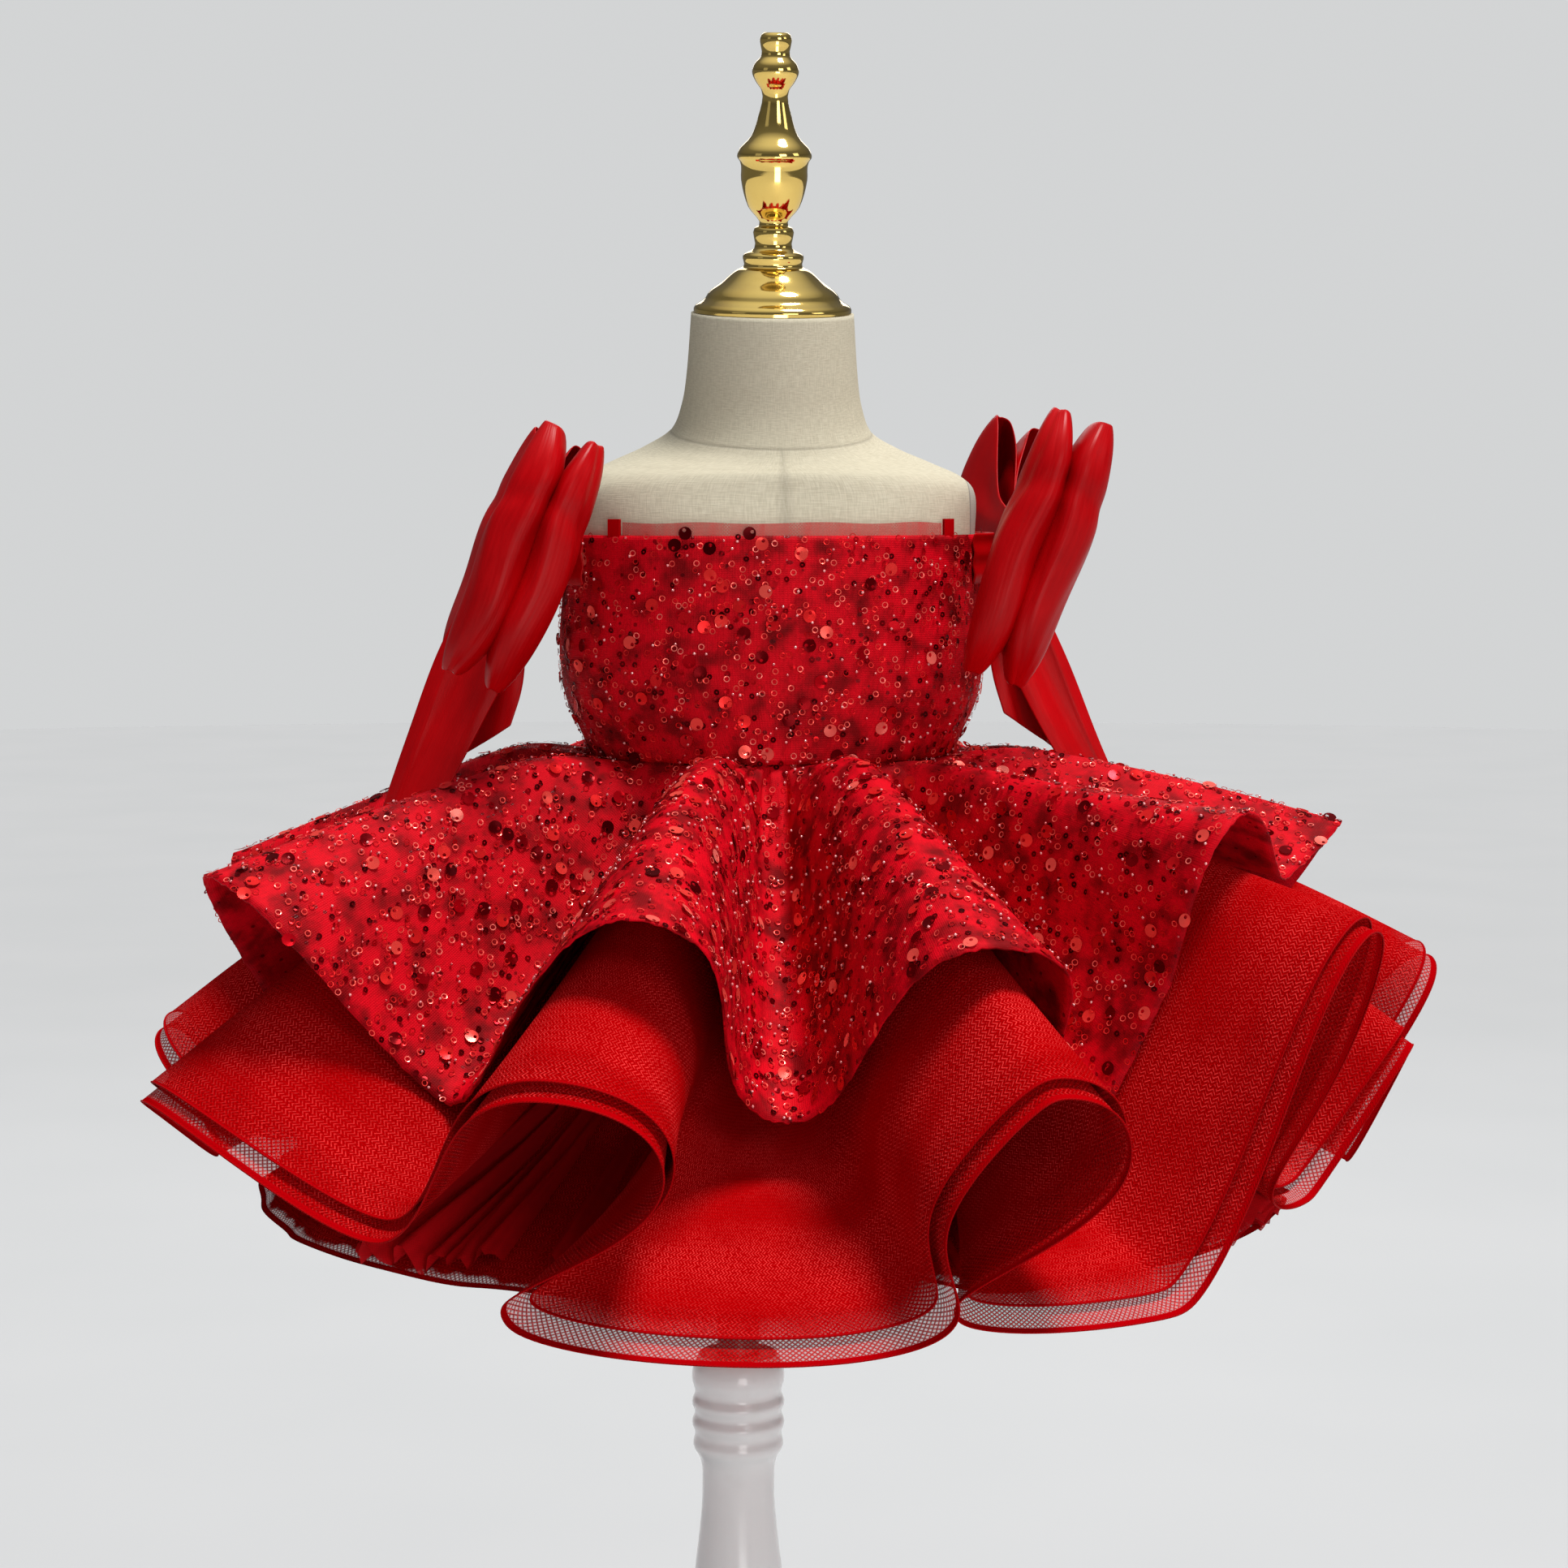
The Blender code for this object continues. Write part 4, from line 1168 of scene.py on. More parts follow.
@dataclass
class Spangles:
    """Sequins and beads sewn all over a panel, and some discs over its top edge."""

    face: Sheet
    seed: int
    edge_xs: tuple[float, ...] = ()
    # Discs over the top edge all take this low tint, which the ramp makes near-black, a painted dark
    # reflection.
    edge_tint: float = 0.10
    edge_rise: float = 0.0012

    def __post_init__(self) -> None:
        """Start the random source and note that no place is taken."""
        self.luck = np.random.default_rng(self.seed)
        self.taken: dict[tuple[float, ...], Array] = {}

    def is_free(self, point: Array, spacing: float) -> bool:
        """Whether nothing of the same spacing lies too near a point. A free point is then taken.

        Args:
            point: The point.
            spacing: The least distance to the next.

        Returns:
            Whether it was free.
        """
        cell = np.floor(point / spacing).astype(int)
        for step in np.ndindex(3, 3, 3):
            other = self.taken.get((spacing, *(cell + step - 1)))
            if other is not None and np.linalg.norm(other - point) <= spacing:
                return False
        self.taken[(spacing, *cell)] = point
        return True

    def spots(self, kind: Spangle) -> tuple[Array, Array]:
        """Where one kind sits.

        Args:
            kind: The kind of sequin.

        Returns:
            Points on the cloth and the cloth's direction out at each.
        """
        area = self.face.areas()
        count = int(area.sum() * kind.per_m2)
        chosen = self.luck.choice(area.size, size=count, p=(area / area.sum()).ravel())
        i, j = np.divmod(chosen, area.shape[1])
        s, t = self.luck.random(count)[:, None], self.luck.random(count)[:, None]

        def spread(values: Array) -> Array:
            """A value inside each chosen face."""
            top = values[i, j] * (1 - s) + values[i, j + 1] * s
            return top * (1 - t) + (values[i + 1, j] * (1 - s) + values[i + 1, j + 1] * s) * t

        points, normals = spread(self.face.grid), unit(spread(self.face.normals))
        keep = [number for number, point in enumerate(points) if self.is_free(point, kind.spacing)]
        return points[keep], normals[keep]

    def placed(self, kind: Spangle) -> tuple[Array, Array]:
        """One kind's shapes on the cloth.

        Args:
            kind: The kind of sequin.

        Returns:
            The points of each one, and a tint for each one.
        """
        spots, normals = self.spots(kind)
        top = self.face.grid[0]
        edge = [int(np.argmin(np.abs(top[:, 0] - BUST_X - x))) for x in self.edge_xs if kind is DISC]
        spots = np.concatenate([spots, top[edge] + (0.0, 0.0, self.edge_rise)])
        normals = np.concatenate([normals, self.face.normals[0, edge]])
        count = len(spots)
        lean = np.tan(math.radians(kind.tilt_deg)) * self.luck.normal(0, 0.5, (count, 3))
        up = unit(normals + lean)
        side = unit(np.cross(up, unit(self.luck.normal(0, 1, (count, 3)))))
        shape, _ = kind.template()
        shapes = (spots + normals * kind.lift)[:, None]
        for column, way in enumerate((side, np.cross(up, side), up)):
            shapes = shapes + shape[None, :, column, None] * way[:, None]
        tint = kind.tint_low + (kind.tint_high - kind.tint_low) * self.luck.random(count) ** kind.tint_power
        tint[count - len(edge) :] = self.edge_tint
        return shapes, tint

    def sew(self, name: str, wear: Wear) -> Obj:
        """Sew every kind on the panel.

        Args:
            name: The piece's name.
            wear: What it wears: the sequins' material and the beads'.

        Returns:
            All the panel's sequins and beads as one piece.
        """
        all_points: list[Array] = []
        all_faces: Faces = []
        all_tints: list[Array] = []
        materials: list[int] = []
        start = 0
        for kind in (DISC, RING, CUP, BEAD):
            shapes, tint = self.placed(kind)
            count, size = shapes.shape[:2]
            _, faces = kind.template()
            all_points.append(shapes.reshape(-1, 3))
            all_tints.append(np.repeat(tint, size))
            for first in range(start, start + count * size, size):
                all_faces += [tuple(first + corner for corner in face) for face in faces]
            materials += [int(kind.bead)] * (count * len(faces))
            start += count * size
        points = np.concatenate(all_points)
        piece = piece_from(name, points, all_faces, np.zeros((len(points), 2)))
        mark_points(piece, TINT_NAME, np.concatenate(all_tints))
        finish_piece(piece, wear)
        piece.data.polygons.foreach_set("material_index", materials)
        return piece


@dataclass
class Assembly:
    """A part of the dress or of its stand, built in the finishes of a wardrobe."""

    wardrobe: Wardrobe

    def sequinned(
        self,
        node: str,
        face: Sheet,
        wall: float,
        held: str,
        seed: int,
        edge_xs: tuple[float, ...] = (),
    ) -> None:
        """Make a panel of sequinned cloth with its sequins.

        Args:
            node: The node that it stands for.
            face: Its outer face.
            wall: Its thickness.
            held: How it is held.
            seed: The random seed of its sequins.
            edge_xs: Where discs stand over its top edge.
        """
        sewn = Spangles(face, seed, edge_xs).sew(node + "_sequins", self.wardrobe.sequins)
        Panel(node + "_cloth", face, self.wardrobe.ground, held, TORSO, (node,), (sewn,), wall).build()

    def halves(self, names: str, face: Sheet, wear: Wear, replacing: bool) -> None:
        """Make the front and the back of a gathered ring.

        Args:
            names: The pieces' names, with braces for front or back.
            face: The ring's outer face.
            wear: What the pieces wear.
            replacing: Whether each stands for a node, named as the piece without its last word.
        """
        middle = face.grid.shape[1] // 2
        for half, first, last in (("front", 0, middle), ("back", middle, 2 * middle)):
            name = names.format(half)
            nodes = (name.rsplit("_", 1)[0],) if replacing else ()
            Panel(name, face.columns(first, last), wear, "gathered", TORSO, nodes).build()


# The skirts


@dataclass
class Underskirt(Assembly):
    """The two stiff layers: the upper, and a longer one a few millimetres inside it."""

    inner_waist: float = 0.0870
    gap_at_hem: float = 0.0042
    extra_length: float = 0.032
    rows: int = 44
    cord_radius: float = 0.00045

    def build(self) -> Sheet:
        """Make both layers with their rolled hems.

        Returns:
            The upper layer's outer face.
        """
        lengths = np.linspace(0, 1, self.rows) ** 0.9
        upper, starts = UNDERSKIRT.sheet(lengths)
        longer, _ = UNDERSKIRT.sheet(lengths * (1 + self.extra_length))
        waist_gap = UNDERSKIRT.waist[0] - self.inner_waist
        lower = longer.moved(-(waist_gap + (self.gap_at_hem - waist_gap) * lengths))
        wear = self.wardrobe
        levels = (("upper", upper, wear.upper_organza), ("lower", lower, wear.lower_organza))
        for level, sheet, organza in levels:
            for half, first, last in (("front", starts[0], starts[5]), ("back", starts[5], starts[10])):
                node = f"underskirt_{level}_{half}"
                face = sheet.columns(first, last)
                hem = hem_cord(node + "_hem", face, self.cord_radius, wear.edge_cord)
                Panel(node + "_organza", face, organza, "gathered", TORSO, (node,), (hem,)).build()
        return upper


@dataclass
class Overskirt(Assembly):
    """The sequinned top skirt, cut as a front and two backs, with its gathers."""

    clearance: float = 0.0030
    wall: float = 0.0009
    rows: int = 46
    gather_count: int = 46
    gather_height: float = 0.0030
    drag_height: float = 0.0162
    drag_counts: tuple[int, ...] = (9, 14, 23, 31)
    tucked_in: float = 0.0025
    frayed: float = 0.0007

    def wrinkles(self, sheet: Sheet, lengths: Array) -> Array:
        """Small gathers under the waist and soft drag folds further down.

        Args:
            sheet: The smooth layer.
            lengths: The rows' shares of the length.

        Returns:
            How far each point stands out.
        """
        luck = np.random.default_rng(SEED)
        around = np.linspace(0, 2 * np.pi, sheet.grid.shape[1])[None, :]
        down = lengths[:, None]
        strength = 0.50 + 0.50 * np.sin(3 * around + 0.7) * np.sin(7 * around + 1.9)
        phase = self.gather_count * around + 2.2 * np.sin(5 * around) + 1.5 * np.sin(11 * around + 1)
        gathers = (0.6 - 1.6 * np.abs(np.sin(phase / 2)) ** 6) * strength
        gathers = gathers * np.exp(-down * 4.5) * np.clip(down * 18, 0, 1) * self.gather_height
        drag = np.zeros_like(gathers)
        for count in self.drag_counts:
            phase, lean = luck.uniform(0, 2 * np.pi), luck.uniform(-3, 3)
            drag = drag + np.sin(count * around + phase + lean * down) / count
        return gathers + drag * self.drag_height * np.sin(np.pi * np.clip(down, 0, 1)) ** 0.7

    def build(self, under: Sheet) -> None:
        """Make the three panels and their sequins.

        Args:
            under: The face that the overskirt lies on.
        """
        lengths = np.linspace(0, 1, self.rows)
        top, starts = OVERSKIRT.sheet(lengths)
        top = top.moved(self.wrinkles(top, lengths))
        for _ in range(2):
            top = top.outside(under, self.clearance)
        luck = np.random.default_rng(SEED + 3)
        top.grid[-1] += luck.uniform(-1, 1, (top.grid.shape[1], 1)) * (0, 0, self.frayed)
        tucked = top.grid[:1] + (0.0, 0.0, self.tucked_in)
        top = Sheet(np.concatenate([tucked, top.grid]), ring=True)
        centre_back = (starts[7] + starts[8]) // 2
        panels = (
            ("overskirt_front", 0, starts[5]),
            ("overskirt_back_left", starts[5], centre_back),
            ("overskirt_back_right", centre_back, starts[10]),
        )
        for number, (name, first, last) in enumerate(panels):
            self.sequinned(name, top.columns(first, last), self.wall, "gathered", SEED + number)


@dataclass
class Petticoat(Assembly):
    """Gathered tulle with a ragged hem, and over it a smoother flounce of open net, each in two halves."""

    waist: tuple[float, float] = (0.0855, 0.0690)
    waves: int = 34
    wave_height: float = 0.0042
    fine_waves: tuple[int, ...] = (89, 127, 158)
    fine_wave_share: float = 0.42
    growth: tuple[float, ...] = (0.000, 0.009, 0.060, 0.166)
    heights: tuple[float, ...] = (0.644, 0.600, 0.502, 0.434)
    rows: int = 16
    columns: int = 1200
    ragged: float = 0.007
    ragged_steps: int = 520
    peeks: Rows = ((58, 14, 0.024), (-50, 8, 0.024))
    net_growth: tuple[float, ...] = (0.001, 0.013, 0.071, 0.180)
    net_heights: tuple[float, ...] = (0.643, 0.600, 0.498, 0.425)
    net_waves: Rows = ((0.0030, 11, 0.8, 0.0), (0.0018, 23, 2.0, 1.0))
    net_rows: int = 14
    net_columns: int = 480
    net_lift: float = 0.018
    net_lift_reach: float = 0.20

    def build(self) -> None:
        """Make the flounce and the tulle."""
        self.halves("petticoat_{}_net", self.net(), self.wardrobe.open_net, replacing=False)
        self.halves("petticoat_{}_tulle", self.tulle(), self.wardrobe.tulle, replacing=True)

    def tulle(self) -> Sheet:
        """The tulle's outer face.

        Returns:
            The sheet.
        """
        luck = np.random.default_rng(SEED + 7)
        share = np.linspace(0, 1, self.rows)[:, None]
        angle = np.linspace(*ROUND_BODY, self.columns + 1)[None, :]
        wave = self.wave_height * np.sin(self.waves * angle)
        for count in self.fine_waves:
            phase = luck.uniform(0, 6)
            wave = wave + self.wave_height * self.fine_wave_share * np.sin(count * angle + phase + 2 * share)
        wave = wave * share**1.2
        radius = oval_radius(angle, self.waist) + smooth_along(self.growth, share) + wave
        for middle_deg, reach_deg, out in self.peeks:
            radius = radius + out * bell(np.degrees(angle) - middle_deg, reach_deg) * share**4
        steps = np.linspace(-2, 5, self.ragged_steps)
        ragged = np.interp(angle[0], steps, luck.uniform(-self.ragged, self.ragged, self.ragged_steps))
        height = smooth_along(self.heights, share) + wave + ragged * share**6
        return Sheet(round_body(angle, radius, height), ring=True)

    def net(self) -> Sheet:
        """The flounce's outer face.

        Returns:
            The sheet.
        """
        share = np.linspace(0, 1, self.net_rows)[:, None]
        angle = np.linspace(*ROUND_BODY, self.net_columns + 1)[None, :]
        wave = 0
        for high, count, phase, lean in self.net_waves:
            wave = wave + high * np.sin(count * angle + phase + lean * share)
        wave = wave * share**1.5
        radius = oval_radius(angle, self.waist) + smooth_along(self.net_growth, share) + wave
        lift = self.net_lift * bell(angle, self.net_lift_reach) * share**2
        height = smooth_along(self.net_heights, share) + 0.5 * wave + lift
        return Sheet(round_body(angle, radius, height), ring=True)


# The bodice


@dataclass
class Bodice(Assembly):
    """Front and two backs, straight across the top, with the net facing and hanger tabs.

    Each section is a height, half a width, half a depth and a squareness.
    """

    sections: Rows = (
        (0.7660, 0.1075, 0.0735, 2.3),
        (0.7400, 0.1078, 0.0755, 2.3),
        (0.7000, 0.1092, 0.0765, 2.3),
        (0.6790, 0.1055, 0.0765, 2.2),
        (0.6650, 0.0990, 0.0765, 2.1),
        (0.6532, 0.0939, 0.0773, 2.0),
    )
    columns: int = 280
    rows: int = 44
    wall: float = 0.0011
    back_dip: float = 0.006
    crumple: float = 0.0006
    facing_height: float = 0.006
    facing_inset: float = 0.0008
    facing_sunk: float = 0.0015
    facing_wave: float = 0.0004
    facing_half_deg: float = 46
    facing_grid: tuple[int, int] = (5, 121)
    tab_size: tuple[float, float, float] = (0.007, 0.0016, 0.009)
    tab_cut_width: float = 0.010
    tab_sunk: float = 0.0012
    ribbon_wall: float = 0.0004
    tab_x: float = 0.084
    edge_sequins: tuple[float, ...] = (-0.0507, -0.0200)

    def face(self) -> Sheet:
        """The bodice's outer face, all round.

        Returns:
            The sheet.
        """
        angle = np.linspace(*ROUND_BODY, self.columns + 1)
        heights, *shapes = (np.array(column) for column in zip(*self.sections))
        rows = []
        for share in np.linspace(0, 1, self.rows):
            z = heights[0] + (heights[-1] - heights[0]) * share
            wide, deep, square = (smooth_through(-heights, shape, -z) for shape in shapes)
            oval = np.stack(rounded_oval(angle, wide, deep, square), axis=-1)
            dip = self.back_dip * np.clip(-np.cos(angle), 0, 1) ** 2 * (1 - share) ** 3
            pull = self.crumple * np.sin(41 * angle + 2 * np.sin(6 * angle)) * share**5
            oval = oval + unit(oval) * pull[:, None]
            rows.append(np.stack([BUST_X + oval[:, 0], oval[:, 1], z - dip], axis=-1))
        return Sheet(np.array(rows), ring=True)

    def build(self) -> None:
        """Make the panels, their sequins, the facing and the tabs."""
        face = self.face()
        quarter = self.columns // 4
        panels = (
            ("bodice_front", 0, 2 * quarter, self.edge_sequins),
            ("bodice_back_left", 2 * quarter, 3 * quarter, ()),
            ("bodice_back_right", 3 * quarter, 4 * quarter, ()),
        )
        for number, (name, first, last, edge_xs) in enumerate(panels, SEED + 10):
            self.sequinned(name, face.columns(first, last), self.wall, "stretched", number, edge_xs)
        self.build_facing()
        for side in Side:
            self.build_tab(side)

    def build_facing(self) -> None:
        """The strip of stiff net that stands above the front top edge."""
        angle = np.radians(np.linspace(-self.facing_half_deg, self.facing_half_deg, self.facing_grid[1]))
        z, wide, deep, square = self.sections[0]
        x, y = rounded_oval(angle, wide - self.facing_inset, deep - self.facing_inset, square)
        rows = []
        for share in np.linspace(0, 1, self.facing_grid[0]):
            height = (self.facing_height + self.facing_wave * np.sin(13 * angle)) * (1 - share)
            rows.append(np.stack([BUST_X + x, y, z + GAP + height - self.facing_sunk * share], axis=-1))
        wear = self.wardrobe.facing_net
        Panel("neck_facing_net", Sheet(np.array(rows)), wear, "stretched", BODICE, ("neck_facing",)).build()

    def build_tab(self, side: Side) -> None:
        """A hanger tab: a small loop of ribbon, open sideways.

        Args:
            side: The side that it is on.
        """
        width, depth, height = self.tab_size
        z, wide, deep, square = self.sections[0]
        y = -deep * (1 - (self.tab_x / wide) ** square) ** (1 / square) + 0.001
        slope = math.atan2(self.tab_x / wide**2, -y / deep**2)
        seat = (BUST_X + side.value * self.tab_x, y, z + GAP + height / 2 - self.tab_sunk)
        deselect()
        bpy.ops.mesh.primitive_cube_add(size=1.0, location=seat)
        tab = bpy.context.active_object
        tab.name = f"hanger_tab_{side.label}_ribbon"
        tab.scale = (width, depth, height)
        bpy.ops.object.transform_apply(location=True, rotation=False, scale=True)
        bpy.ops.object.mode_set(mode="EDIT")
        bpy.ops.mesh.select_mode(type="FACE")
        bpy.ops.mesh.select_all(action="DESELECT")
        bpy.ops.object.mode_set(mode="OBJECT")
        for face in tab.data.polygons:
            face.select = abs(face.normal.x) > 0.9
        bpy.ops.object.mode_set(mode="EDIT")
        bpy.ops.mesh.inset(thickness=self.ribbon_wall, use_individual=True)
        bpy.ops.mesh.bridge_edge_loops()
        bpy.ops.mesh.select_all(action="SELECT")
        bpy.ops.mesh.subdivide(number_cuts=2)
        bpy.ops.mesh.normals_make_consistent(inside=False)
        bpy.ops.object.mode_set(mode="OBJECT")
        turned = Matrix.Rotation(side.value * slope, 4, "Z")
        tab.data.transform(Matrix.Translation(seat) @ turned @ Matrix.Translation(seat).inverted())
        unwrap_by_place(tab)
        finish_piece(tab, self.wardrobe.satin, f"hanger_tab_{side.label}")


# Straps and bows


@dataclass
class ArmStrap(Assembly):
    """A satin band round one arm, gently pleated."""

    side: Side
    height: float = 0.026
    middle_z: float = 0.7535
    wall: float = 0.0012
    pleat: float = 0.0005
    grid: tuple[int, int] = (15, 57)
    path: Rows = (
        (0.0985, -0.0370),
        (0.1052, -0.0285),
        (0.1112, -0.0175),
        (0.1137, -0.0060),
        (0.1137, 0.0060),
        (0.1112, 0.0175),
        (0.1052, 0.0285),
        (0.0985, 0.0370),
    )

    def build(self) -> None:
        """Make the strap."""
        points = self.path if self.side is Side.LEFT else self.path[::-1]
        along = np.arange(len(points))
        fine = np.linspace(0, len(points) - 1, self.grid[1])
        x, y = (smooth_through(along, column, fine) for column in zip(*points))
        rows = []
        for up in np.linspace(1, -1, self.grid[0]):
            out = x + self.wall + self.pleat * math.sin(7.5 * up)
            z = np.full_like(x, self.middle_z + up * self.height / 2)
            rows.append(np.stack([BUST_X + self.side.value * out, y, z], axis=-1))
        node = f"arm_strap_{self.side.label}"
        band = Sheet(np.array(rows))
        satin = self.wardrobe.satin
        Panel(node + "_satin", band, satin, "stretched", BODICE, (node,), (), self.wall, rounded=1).build()


@dataclass
class Bow(Assembly):
    """One double bow of satin: a wrapped knot, two loops each way and two tails.

    Each row of a tail says how far out and down it has run, and half its width there.
    """

    side: Side
    knot_z: float
    lean_deg: float
    tail_spread: float
    tail_drift: float
    loop_out: float = 0.0
    droop: float = 0.03
    bow_x: float = 0.1306
    knot_half: tuple[float, float, float] = (0.0115, 0.0087, 0.0165)
    knot_bevel: float = 0.0042
    knot_fold: float = 0.07
    loop_grid: tuple[int, int] = (29, 73)
    loop_length: float = 0.094
    loop_swell: float = 0.0180
    root_swell: float = 0.16
    edge_flattening: float = 0.62
    corner_pull: float = 0.18
    bend: float = 0.0022
    ripple: float = 0.0010
    loop_half_height: tuple[float, float] = (0.013, 0.0650)
    loop_spread: tuple[float, float] = (0.0046, 0.0127)
    turn_in_deg: float = 4
    wall: float = 0.0011
    pleat: float = 0.0014
    crease: float = 0.0014
    face_slant: float = 0.010
    tail_inner: Rows = (
        (0.002, 0.000, 0.008),
        (0.005, 0.034, 0.018),
        (0.007, 0.062, 0.020),
        (0.009, 0.082, 0.018),
    )
    tail_outer: Rows = (
        (0.002, 0.000, 0.008),
        (0.011, 0.035, 0.019),
        (0.028, 0.078, 0.021),
        (0.046, 0.117, 0.021),
    )
    tail_grid: tuple[int, int] = (41, 25)
    tail_apart: float = 0.0034
    tail_twist_deg: float = 32
    tail_fold: float = 0.0016
    tail_cup: float = 0.0035
    tail_slant: float = 0.010

    def __post_init__(self) -> None:
        """Work out the knot's place and the bow's lean."""
        self.knot = Vector((BUST_X + self.side.value * self.bow_x, 0.0, self.knot_z))
        self.lean = Matrix.Rotation(math.radians(self.lean_deg), 3, "Y")

    def loop(self, ahead: int, layer: int) -> Sheet:
        """The outer face of one loop.

        Args:
            ahead: -1 for the front wing and 1 for the back.
            layer: 1 for the outer loop and -1 for the inner.

        Returns:
            The sheet.
        """
        turn = np.linspace(0, 1, self.loop_grid[1])[None, :]
        width = np.linspace(1, -1, self.loop_grid[0])[:, None]
        reach = np.sin(np.pi * turn)
        (root_half, full_half), (root_spread, full_spread) = self.loop_half_height, self.loop_spread
        flat = 1 - self.edge_flattening * width**4 * reach**0.3
        across = np.sign(0.5 - turn) * np.abs(np.cos(np.pi * turn)) ** 0.75
        swell = -self.loop_swell * across * (self.root_swell + (1 - self.root_swell) * reach**0.5) * flat
        spread = root_spread + (full_spread - root_spread) * reach
        growth = (full_half - root_half) * (1 - (1 - reach) ** 2.4)
        half = (root_half + growth) * np.where(width < 0, 1 + self.droop, 1.0)
        slant = self.face_slant * np.cos(np.pi * turn) * layer * reach**2
        length = (self.loop_length * reach**0.36 + slant) * (1 - self.corner_pull * width**4)
        length = self.knot_half[1] + GAP + length
        waves = self.bend * np.sin(2.3 * width + 0.6 * layer) + self.ripple * np.sin(6.0 * width + layer)
        out = layer * spread + swell + waves * reach - math.tan(math.radians(self.turn_in_deg)) * length
        out = self.side.value * (out + self.loop_out * reach)
        local = np.stack(np.broadcast_arrays(out, ahead * length, width * half), axis=-1)
        grid = np.array(self.knot) + local @ np.array(self.lean).T
        way = -1 if self.side.value * ahead > 0 else 1
        return Sheet(grid[:, ::way]).moved(self.dents(turn, width, reach, layer)[:, ::way])

    def dents(self, turn: Array, width: Array, reach: Array, layer: int) -> Array:
        """The pleats that run into the knot and the soft creases of one loop.

        Args:
            turn: From 0 to 1 round the loop.
            width: From 1 to -1 down it.
            reach: From 0 at the knot to 1 at the loop's end.
            layer: 1 for the outer loop and -1 for the inner.

        Returns:
            How far each point stands out.
        """
        root = (1 - reach) ** 1.5 * np.clip(reach * 6, 0, 1)
        pleats = self.pleat * root * np.sin(7.0 * width + 0.8 * layer)
        creases = bell((turn - 0.30) + 0.16 * width * layer, 0.06)
        creases = creases + 0.7 * bell((turn - 0.68) - 0.13 * width, 0.07)
        creases = creases + 1.1 * bell((width - 0.40) + 0.35 * (turn - 0.5) * layer, 0.09)
        return pleats - self.crease * creases * reach

    def tail(self, rows: Rows, behind: float) -> Sheet:
        """The outer face of a tail, with one long fold down it.

        Args:
            rows: The tail's rows.
            behind: How far it hangs behind the knot's middle.

        Returns:
            The sheet.
        """
        outs, downs, halves = (np.array(column) for column in zip(*rows))
        foot = self.knot + self.lean @ Vector((0.0, 0.0, -self.knot_half[2] - 0.0008))
        fall = np.linspace(0, downs[-1], self.tail_grid[0])[:, None]
        across = np.linspace(-1, 1, self.tail_grid[1])[None, :]
        share = fall / downs[-1]
        middle = smooth_through(downs, outs, fall) + self.tail_spread * share**0.7
        half = smooth_through(downs, halves, fall)
        twist = math.radians(self.tail_twist_deg) * share
        cup = self.tail_cup * share * (across**2 - 0.5)
        fold = self.tail_fold * np.sin(5 * across + 1.2) * np.sin(np.pi * np.clip(share * 0.9, 0, 1))
        fold = fold - self.tail_fold * bell(across - 0.62, 0.09) * share**0.5
        slope = math.tan(math.radians(self.lean_deg))
        step = self.side.value * (middle + across * half * np.cos(twist))
        drift = self.tail_drift * (0.04 + middle) * share
        y = behind + cup + fold + across * half * np.sin(twist) - drift
        z = foot.z - fall - self.tail_slant * share * across - (1 - share) * slope * step
        grid = np.stack(np.broadcast_arrays(foot.x + step, y, z), axis=-1)
        return Sheet(grid[:, :: self.side.value])

    def build_knot(self) -> None:
        """The wrapped knot: a block rounded and drawn in along the wrap's folds."""
        deselect()
        bpy.ops.mesh.primitive_cube_add(size=2.0, location=(0.0, 0.0, 0.0))
        knot = bpy.context.active_object
        knot.name = f"bow_{self.side.label}_knot_satin"
        knot.scale = self.knot_half
        bpy.ops.object.transform_apply(location=False, rotation=False, scale=True)
        bpy.ops.object.mode_set(mode="EDIT")
        bpy.ops.mesh.select_all(action="SELECT")
        bpy.ops.mesh.bevel(offset=self.knot_bevel, segments=3)
        bpy.ops.mesh.subdivide(number_cuts=3)
        bpy.ops.object.mode_set(mode="OBJECT")
        for vertex in knot.data.vertices:
            phase = 9.0 * vertex.co.z / self.knot_half[2] + 2.2 * vertex.co.y / self.knot_half[1]
            fold = 1 - self.knot_fold * (0.5 + 0.5 * math.sin(phase))
            vertex.co.x *= fold
            vertex.co.y *= 0.5 + 0.5 * fold
        unwrap_by_place(knot)
        knot.data.transform(Matrix.Translation(self.knot) @ self.lean.to_4x4())
        knot.data.shade_smooth()
        finish_piece(knot, self.wardrobe.satin, f"bow_{self.side.label}_knot")

    def build(self) -> None:
        """Make the whole bow."""
        self.build_knot()
        parts = [
            (f"{wing}_{position}", self.loop(ahead, layer), "folded")
            for wing, ahead in (("front", -1), ("back", 1))
            for position, layer in (("outer", 1), ("inner", -1))
        ]
        parts.append(("tail_inner", self.tail(self.tail_inner, self.tail_apart), "hung"))
        parts.append(("tail_outer", self.tail(self.tail_outer, -self.tail_apart), "hung"))
        start = f"bow_{self.side.label}_"
        for part, face, held in parts:
            name, node = f"{start}{part}_satin", (start + part,)
            satin = self.wardrobe.satin
            Panel(name, face, satin, held, start + "knot_satin", node, (), self.wall, rounded=1).build()


# The dress form and its stand


